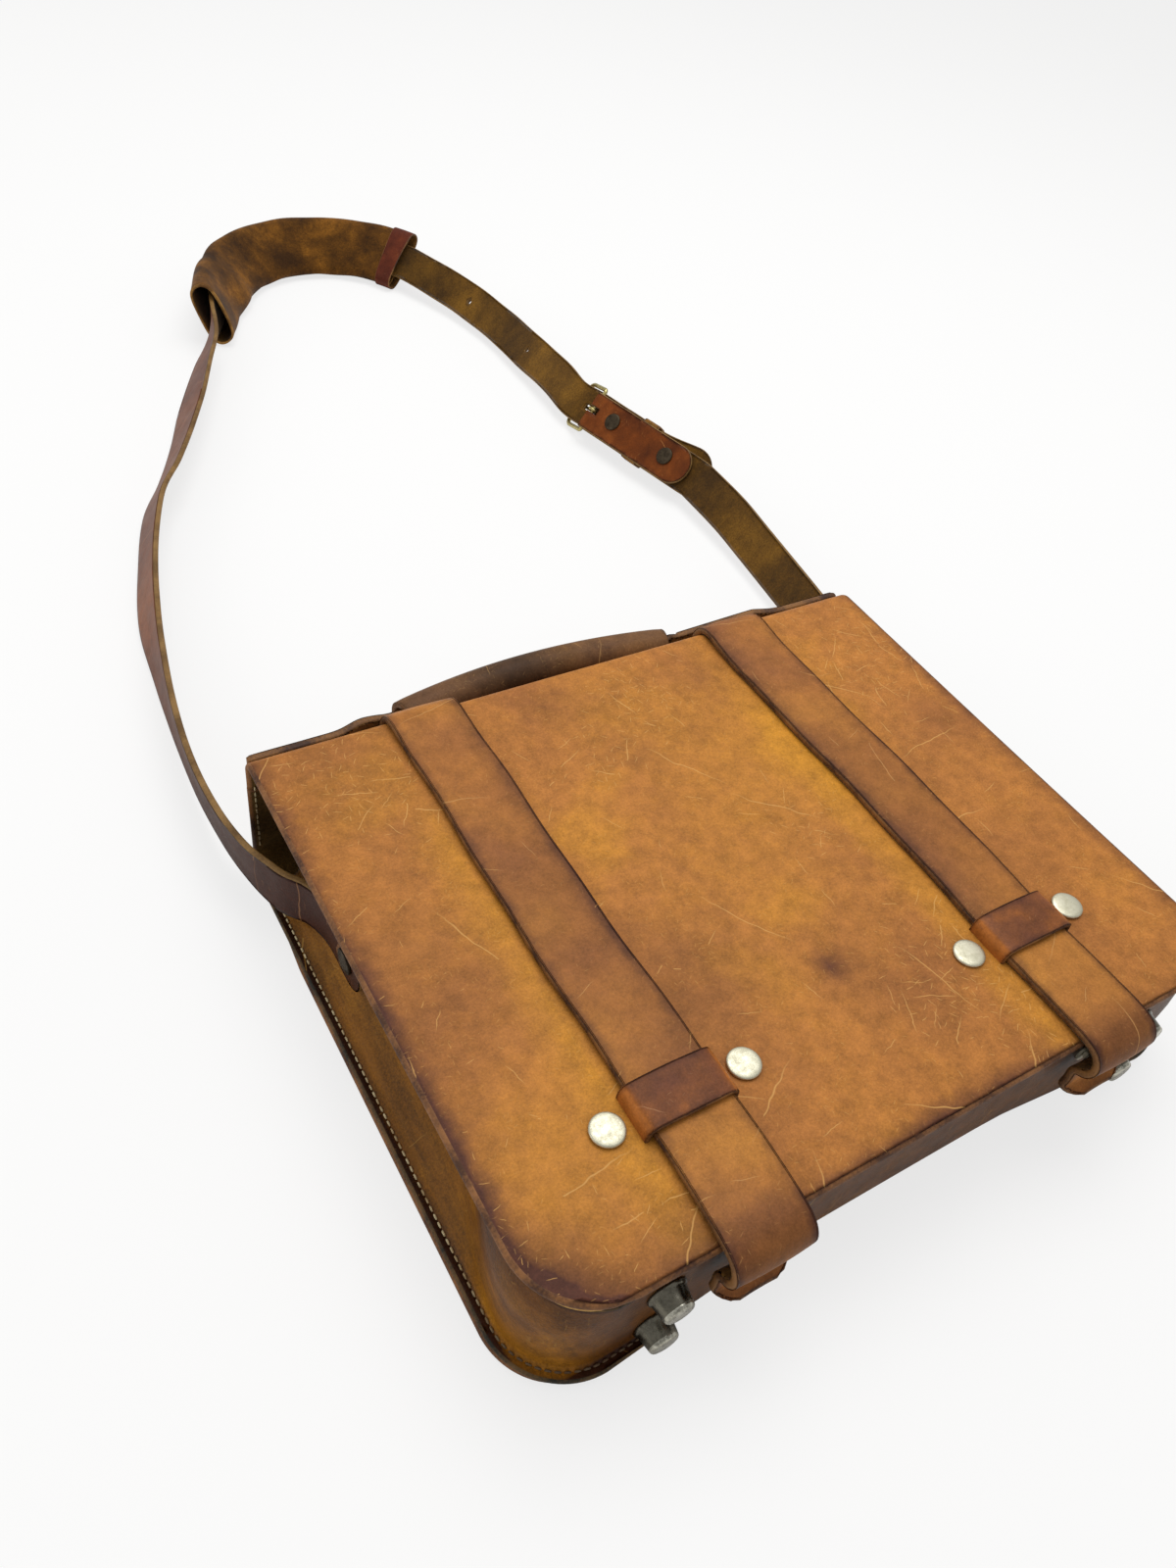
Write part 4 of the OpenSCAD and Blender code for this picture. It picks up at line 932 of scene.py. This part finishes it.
def handle_band(side):
    """Mid-surface of one half of the carrying strap, from the bag's corner into the grip."""
    grip_x = grip_shift + side * grip_half
    on_wall = [(182.6, 151.0, 33), (178, 151.2, 34), (150, 151.2, 34), (136, 151.6, 34), (125, 154.8, 33.6),
               (120, 155.5, 33)]
    if side < 0:
        on_wall.append((112, 156.0, 30))
    to_grip = [(9, -5.2, 22), (3, -1.4, 14), (-4, -0.2, 11), (-11, 0.4, 10.6)]
    stops = [(side * x, y, width) for x, y, width in on_wall]
    stops += [(grip_x + side * x, grip_end_y + y, width) for x, y, width in to_grip]
    line = even_line(smooth_line(stops, 8), 2.0)
    if side > 0:
        line = line[::-1]
    share = -eased(15)
    return np.array([[(x, y, band_z + u * width / 2) for u in share] for x, y, width in line])


for side, where in both_sides:
    band = leather("handle_strap_" + where, handle_band(side), 4.3, 1.5)
    dress(band, band_grain, strap_cut, strap_flesh)
    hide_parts("handle_strap_" + where, "handle_end_" + where)
    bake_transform(band)


# ---------------------------------------------------------------- shoulder strap
# A strap of firm leather in two parts. The long one comes off the left anchor, climbs through
# the pad and runs to the buckle. It twists, so that its grain side shows on the left and its
# fibrous flesh side on the right.

sling_w = 30.0
sling_t = 3.2
buckle_at = np.array([196.0, 452.0, 23.0])
buckle_yaw = math.radians(13)
buckle_lean = 42.0
along_buckle = np.array([-math.sin(buckle_yaw), math.cos(buckle_yaw), 0])
lean = math.radians(buckle_lean)
out_buckle = np.array([math.cos(lean) * math.cos(buckle_yaw), math.cos(lean) * math.sin(buckle_yaw),
                       -math.sin(lean)])
up_buckle = np.cross(out_buckle, along_buckle)
# how far out from the buckle's bar the chape and the long strap lie
layer, over = 2.3, 6.5
chape_l = 104.0
chape_t = 2.6
bar_r = 1.6
pad_centre = np.array([83.0, 694.0])
pad_r = 90.0
pad_z = 21.6
pad_start, pad_end = 31, 155
half_w = 185.0
anchor_y, anchor_z = 48.0, 30.5
# middle of the strap where it lies on the anchor's spacer
tab_c = 172.78 + 1.7


def from_buckle(along, out, shift=0.0):
    return [*(buckle_at + along * along_buckle + out * out_buckle + shift * up_buckle), buckle_lean]


def on_pad(angle):
    a = math.radians(angle)
    return [pad_centre[0] + pad_r * math.cos(a), pad_centre[1] + pad_r * math.sin(a), pad_z, buckle_lean + 3]


# stations: x, y, z and how far the strap leans outwards, in degrees
long_route = (
    [from_buckle(-108, over + 13, 9), from_buckle(-94, over + 6, 6), from_buckle(-78, over + 1, 2.6),
     from_buckle(-60, over, 1.2), from_buckle(-30, over, 1.2), from_buckle(0, over, 1.2),
     from_buckle(26, over, 0.6)]
    + [[197, 512, 20, 43], [198, 562, 17.5, 44], [197.5, 612, 16.5, 44], [188.5, 668, 18, 45]]
    + [on_pad(a) for a in range(pad_start - 12, pad_end, 12)]
    + [on_pad(pad_end), [-16, 699, 22, 24], [-30, 668, 21.5, 2], [-46, 634, 19, -30],
       [-63.6, 600, 17, -37], [-84, 557, 16.5, -41], [-104.8, 513, 16.5, -36], [-125, 475, 16.5, -33],
       [-146, 440, 16.5, -30], [-166, 385, 16.5, -26], [-180, 335, 16.5, -24], [-188.5, 285, 17, -12],
       [-195, 235, 18.5, -2], [-198.5, 190, 21, 3], [-198, 150, 24, 5], [-194.5, 122, 26.5, 4],
       [-half_w - 4.6, 104, 28.5, 0], [-half_w - 0.8, 95, 29.5, 0], [-tab_c - 5.2, 86, anchor_z, 0],
       [-tab_c - 1.4, 76, anchor_z, 0], [-tab_c, 66, anchor_z, 0],
       [-tab_c, anchor_y + 4, anchor_z, 0], [-tab_c, anchor_y - 15, anchor_z, 0]])
short_route = [
    [tab_c, anchor_y - 15, anchor_z, 0], [tab_c, anchor_y, anchor_z, 0], [tab_c, 56, anchor_z, 0],
    [tab_c + 0.8, 61, anchor_z, 0], [(tab_c + half_w + 2) / 2, 70, anchor_z, 0], [half_w + 3.4, 80, 29.5, 0],
    [half_w + 5.8, 96, 28, 1], [192.5, 124, 26, 5], [197, 148, 23, 13], [204.5, 185, 20.5, 24],
    [211, 225, 19.5, 28], [216.5, 265, 19.5, 32], [220, 300, 20.5, 38],
    from_buckle(-chape_l - 6, layer, -1.2)]

sling_grain = grain_leather("bridle_sling_leather", "#704028", "#8A5230", "#5E3220", "#341A12", "#A87850",
                            roughness=0.42, wear=0.6, patch=60, edge_reach=2.4, gloss=0.14)
sling_flesh = flesh_leather("sling_flesh_side", "#422C0E", "#5E4012", "#7A5519", 50)
sling_cut = cut_edge_leather("raw_sling_edge", "#634722", "#8E6C3C")
chape_grain = grain_leather("chestnut_chape_leather", "#6C350F", "#86481A", "#52260C", "#2E1508", "#B67C42",
                            roughness=0.42, wear=0.5, patch=20, edge_reach=2.6)


def across(heading, lean_degrees):
    """Width direction of the strap where it heads one way and leans outwards by so much."""
    outward = unit(np.cross(heading, [0, 0, 1]))
    a = np.radians(lean_degrees)[:, None]
    w = np.cos(a) * np.array([0, 0, 1]) + np.sin(a) * outward
    return unit(w - np.sum(w * heading, axis=1, keepdims=True) * heading)


def round_ends(line, radius):
    """Half widths of a strap with two round ends."""
    run = run_along(line)
    return rounded(np.minimum(run, run[-1] - run) + 0.15, radius, radius)


def ribbon(centres, widths, half):
    """Grid of a strap from its centres, width directions and half widths."""
    share = eased(11)
    return centres[:, None] + (share[None] * half[:, None])[..., None] * widths[:, None]


def dense_ends(line, radius):
    """Adds close stations along the last radius of both ends, so that they come out round."""
    length = run_along(line)[-1]
    close = radius * (1 - np.cos(np.linspace(0, math.pi / 2, 14)))
    return line_at(line, np.concatenate([close, np.arange(radius + 3, length - radius - 3, 3.5),
                                         length - close[::-1]]))


def punch(piece, cutters):
    """Cuts holes with the leather's cut edge inside: each cutter is a closed mesh, removed afterwards."""
    for cutter in cutters:
        cutter.data.materials.clear()
        for material in piece.data.materials:
            cutter.data.materials.append(material)
        cutter.data.polygons.foreach_set("material_index", [1] * len(cutter.data.polygons))
        cut = piece.modifiers.new("punch", "BOOLEAN")
        cut.operation = "DIFFERENCE"
        cut.solver = "EXACT"
        cut.object = cutter
    bpy.context.view_layer.update()
    result = bpy.data.meshes.new_from_object(piece.evaluated_get(bpy.context.evaluated_depsgraph_get()))
    piece.modifiers.clear()
    piece.data = result
    for cutter in cutters:
        bpy.data.objects.remove(cutter)


def closed(shape, sides):
    """Closes a shape of rings with a face at each end."""
    points, faces = shape
    return points, faces + [tuple(range(sides))[::-1], tuple(range(len(points) - sides, len(points)))]


def box_shape(centre, axes, sizes):
    """Closed box about a centre with the given axes and sizes."""
    corners = [(a, b, c) for a in (-0.5, 0.5) for b in (-0.5, 0.5) for c in (-0.5, 0.5)]
    points = np.array([np.array(centre) + sum(k * s * np.array(ax) for k, s, ax in zip(c, sizes, axes))
                       for c in corners])
    return points, [(0, 1, 3, 2), (4, 6, 7, 5), (0, 4, 5, 1), (2, 3, 7, 6), (0, 2, 6, 4), (1, 5, 7, 3)]


hole_at = [[198, 562, 17.5], [191, 655, 17.4]]
hole_axis = (0.719, 0, -0.695)
hole_profile = [(2.25, -9), (2.25, 9)]
prong_slot, bar_slot = (9, 11, 4.6), (20, 15, 5.4)
long_line = dense_ends(smooth_line(long_route, 8), sling_w / 2)
heading = unit(np.gradient(long_line[:, :3], axis=0))
long_w = across(heading, long_line[:, 3])
sway = 0.35 * np.sin(long_line[:, 1] / 17) + 0.25 * np.sin(long_line[:, 1] / 7.3 + 1)
long_half = round_ends(long_line, sling_w / 2) + np.clip(sway, -0.5, 0.5) * 0.5


def sling_paint(points):
    """Rubbed pale where it hangs free on the left, nearly black-brown where it comes to the bag."""
    x, y, z = points.T
    left = x < -100
    return left * 0.7 * np.exp(-((y - 345) / 40) ** 2), left * np.clip((300 - y) / 130, 0, 1) * 0.85


long_strap = leather("long_strap", ribbon(long_line[:, :3], long_w, long_half), sling_t, 0.9, sling_paint)
dress(long_strap, sling_grain, sling_cut, sling_flesh)
slot_axes = (out_buckle, along_buckle, up_buckle)
punch(long_strap, [add_mesh("hole_cutter", *closed(turned(hole_profile, centre, hole_axis, 20), 20))
                   for centre in hole_at]
      + [add_mesh("slot_cutter", *box_shape(from_buckle(7, over)[:3], slot_axes, prong_slot))])
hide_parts("long_strap")
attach(long_strap, "shoulder_strap")

# the short strap: from the right anchor to the buckle, round its bar and back on the inner side
wrap = bar_r + 0.3 + chape_t / 2
fold = ([(layer, -chape_l + 6), (layer, -60), (layer, -16), ((layer + wrap) / 2 + 0.2, -8)]
        + [(wrap * math.cos(math.radians(a)), wrap * math.sin(math.radians(a))) for a in range(-10, 191, 20)]
        + [(-(layer + wrap) / 2 - 0.2, -8), (-layer, -16), (-layer, -60), (-layer, -chape_l)])
fold_line = even_line(np.array([from_buckle(u, n, -1.2)[:3] for n, u in fold]), 1.2)
short_first = smooth_line(short_route, 8)
short_w = across(unit(np.gradient(short_first[:, :3], axis=0)), short_first[:, 3])
short_line = dense_ends(np.concatenate([
    np.concatenate([short_first[:, :3], short_w], axis=1),
    np.concatenate([fold_line, np.tile(up_buckle, (len(fold_line), 1))], axis=1)]), sling_w / 2)
short_grid = ribbon(short_line[:, :3], unit(short_line[:, 3:]), round_ends(short_line, sling_w / 2))
short_strap = leather("short_strap", short_grid, chape_t, 0.8)
dress(short_strap, chape_grain, sling_cut, sling_flesh)
punch(short_strap, [add_mesh("slot_cutter", *box_shape(buckle_at, slot_axes, bar_slot))])
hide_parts("short_strap")
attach(short_strap, "shoulder_strap")

under_chape = buckle_at - (layer + chape_t / 2) * out_buckle
caps = [turned(head_profile(strap_head_r, 1.8), under_chape + u * along_buckle, -out_buckle)
        for u in (-24, -80)]
cap_piece = joined("strap_rivets", caps, brown_brass)
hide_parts("strap_rivets")
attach(cap_piece, "shoulder_strap")

# keeper that holds the long strap's tail on the chape
keeper_grain = grain_leather("tan_keeper_leather", "#BF7846", "#CF8E4E", "#A86438", "#7A4526", "#DDAA7A",
                             roughness=0.45, wear=0.4, patch=10, edge_reach=1.8)
keeper_low, keeper_high = 0.0, over + sling_t / 2 + 1.3
keeper_half = sling_w / 2 + 1.3
corner = 1.6
keeper_loop = [(keeper_low, -keeper_half + corner), (keeper_low, keeper_half - corner)]
keeper_loop += turn(keeper_low + corner, keeper_half - corner, corner, 180, 90, 5)[1:]
keeper_loop += turn(keeper_high - corner, keeper_half - corner, corner, 90, 0, 5)
keeper_loop += [(n, -w) for n, w in keeper_loop[::-1]]
keeper_at = -52
keeper_w = 15
keeper_grid_points = [[buckle_at + (keeper_at + v) * along_buckle + n * out_buckle + w * up_buckle
                       for v in eased(9) * keeper_w / 2] for n, w in keeper_loop]
sling_keeper = leather("strap_keeper", np.array(keeper_grid_points)[:, ::-1], 1.5, 0.6)
dress(sling_keeper, keeper_grain, strap_cut, strap_flesh)
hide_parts("strap_keeper")
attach(sling_keeper, "shoulder_strap")


# ---------------------------------------------------------------- buckle
# A rectangular roller-less buckle bent from thick brass wire, and a prong of thinner wire
# wrapped round its bar. Both are pale brass with duller patches.

def tube(points, radius, sides=14, loop=False):
    """Points and faces of a round wire along a line; radius may vary along it."""
    points = np.asarray(points, float)
    heading = unit(np.roll(points, -1, 0) - np.roll(points, 1, 0) if loop else np.gradient(points, axis=0))
    radius = np.broadcast_to(radius, len(points))
    normal = unit(np.cross(heading[0], [0.31, 0.42, 0.85]))
    rings = []
    for p, h, r in zip(points, heading, radius):
        normal = unit(normal - np.dot(normal, h) * h)
        rings.append(p + r * circle(normal, np.cross(h, normal), sides))
    shape = np.concatenate(rings), ring_faces(len(points), sides, loop)
    return shape if loop else closed(shape, sides)


frame_w = sling_w / 2 + 1.4 + bar_r
far_out = over + sling_t / 2 + 0.4 + bar_r
frame_len = math.hypot(22, far_out)
frame_tilt = math.atan2(far_out, 22)
frame_along = math.cos(frame_tilt) * along_buckle + math.sin(frame_tilt) * out_buckle
frame_out = math.cos(frame_tilt) * out_buckle - math.sin(frame_tilt) * along_buckle


def on_frame(out, along, up):
    return buckle_at + out * frame_out + along * frame_along + up * up_buckle


tight, wide = 2.2, 5.0
frame_corners = (turn(tight, tight - frame_w, tight, 180, 270, 8)
                 + turn(frame_len - wide, wide - frame_w, wide, -90, 0, 8)
                 + turn(frame_len - wide, frame_w - wide, wide, 0, 90, 8)
                 + turn(tight, frame_w - tight, tight, 90, 180, 8))
frame_line = np.array([on_frame(0, u, w) for u, w in frame_corners + frame_corners[:1]])
buckle = joined("buckle_frame", [tube(even_line(frame_line, 1.0)[:-1], bar_r, 16, True)], wire_brass)
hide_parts("buckle_frame")
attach(buckle, "buckle")

prong_r = 1.3
wrap_r = bar_r + 0.1 + prong_r
round_bar = np.radians(np.arange(-275, 1, 12))
prong_line = [on_frame(wrap_r * math.cos(a), wrap_r * math.sin(a), 0) for a in round_bar]
prong_line += [on_frame(wrap_r, u, 0) for u in np.linspace(1.5, frame_len + 2.5, 14)]
prong_radii = [prong_r] * (len(prong_line) - 4) + [prong_r * k for k in (0.97, 0.9, 0.75, 0.45)]
prong = joined("buckle_prong", [tube(prong_line, np.array(prong_radii), 14)], wire_brass)
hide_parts("buckle_prong")
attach(prong, "prong")


# ---------------------------------------------------------------- shoulder pad
# A sleeve of napped leather is slipped over the strap, padded along its curve, and gapes at its
# left end. A band of smooth red-brown leather holds its right end.

suede = flesh_leather("napped_pad_leather", "#3A230B", "#5E3B10", "#87571A", 30)
suede_rim = cut_edge_leather("rolled_pad_rim", "#5E3D16", "#A67A3C", 0.8)
pad_flare = (0, 0.5, 1.4, 2.8)
pad_stations = [on_pad(pad_start + (pad_end - pad_start) * i / 16) + [13 + pad_flare[max(i - 13, 0)], 50]
                for i in range(17)]
pad_stations += [[-11, 714, 22.5, 38, 17, 50], [-21, 692, 23.5, 30, 19, 50], [-30.5, 670, 25, 24, 22, 50]]


def sleeve(name, line, wall, lumps=0.0):
    """Closed sleeve along stations (place, lean, thickness, width): outer skin, rims, inner skin."""
    sides = 48
    centres, heading = line[:, :3], unit(np.gradient(line[:, :3], axis=0))
    widths = across(heading, line[:, 3])
    out = np.cross(heading, widths)
    around = (np.arange(sides) + 0.5) / sides * math.tau
    shapes = []
    for inset in (0.0, wall):
        ring = []
        for c, w, o, (thick, wide) in zip(centres, widths, out, line[:, 4:6]):
            t, b = thick / 2 - inset, (wide - thick) / 2
            ring.append([c + t * math.cos(a) * o + (t * math.sin(a) + b * np.tanh(2.4 * math.sin(a))) * w
                         for a in around])
        shapes.append(np.array(ring))
    outer, inner = shapes
    if lumps:
        run = np.linspace(0, 1, len(line))[:, None]
        swell = np.sin(run * 41 + 2.1 * np.sin(around * 2)) * 0.5 + np.sin(run * 23 + around * 3) * 0.5
        outer = outer + (swell * lumps)[..., None] * unit(outer - centres[:, None])
    # the rims are half rounds between the two skins; part 0 is outside, 1 a rim and 2 inside
    rims = {}
    for end, beyond in ((-1, centres[-1] - centres[-2]), (0, centres[0] - centres[1])):
        rims[end] = [outer[end] * (1 + math.cos(a)) / 2 + inner[end] * (1 - math.cos(a)) / 2
                     + unit(beyond) * wall / 2 * math.sin(a) for a in np.linspace(0, math.pi, 5)[1:-1]]
    rows = [*outer, *rims[-1], *inner[::-1], *rims[0][::-1]]
    part = np.repeat([0, 1, 2, 1], [len(line), 3, len(line), 3])
    after = np.roll(part, -1)
    part_of = np.repeat(np.maximum(part, after), sides)
    edge = np.repeat(np.where(part == 1, 0.0, 9.0), sides)
    nothing = np.zeros(len(edge))
    return add_mesh(name, np.concatenate(rows), ring_faces(len(rows), sides, True), part_of,
                    {"edge_mm": edge, "golden": nothing, "dark": nothing})


pad_line = even_line(smooth_line(pad_stations, 6), 3.0)
pad = sleeve("shoulder_pad", pad_line, 2.4, lumps=0.5)
dress(pad, suede, suede_rim, sling_flesh)
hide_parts("shoulder_pad")
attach(pad, "pad")

band_line = [on_pad(pad_start - 4 + a) + [16.6, 53.6] for a in np.linspace(0, 10.8, 8)]
band_piece = sleeve("pad_band", np.array(band_line), 1.4)
band_red = grain_leather("red_brown_band_leather", "#5E2A18", "#74381C", "#4C2014", "#2C130B", "#A66C42",
                         roughness=0.42, wear=0.5, patch=14, edge_reach=2.0)
dress(band_piece, band_red, strap_cut, strap_flesh)
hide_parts("pad_band")
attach(band_piece, "pad")

dress_cad("anchor_spacers", strap_grain)
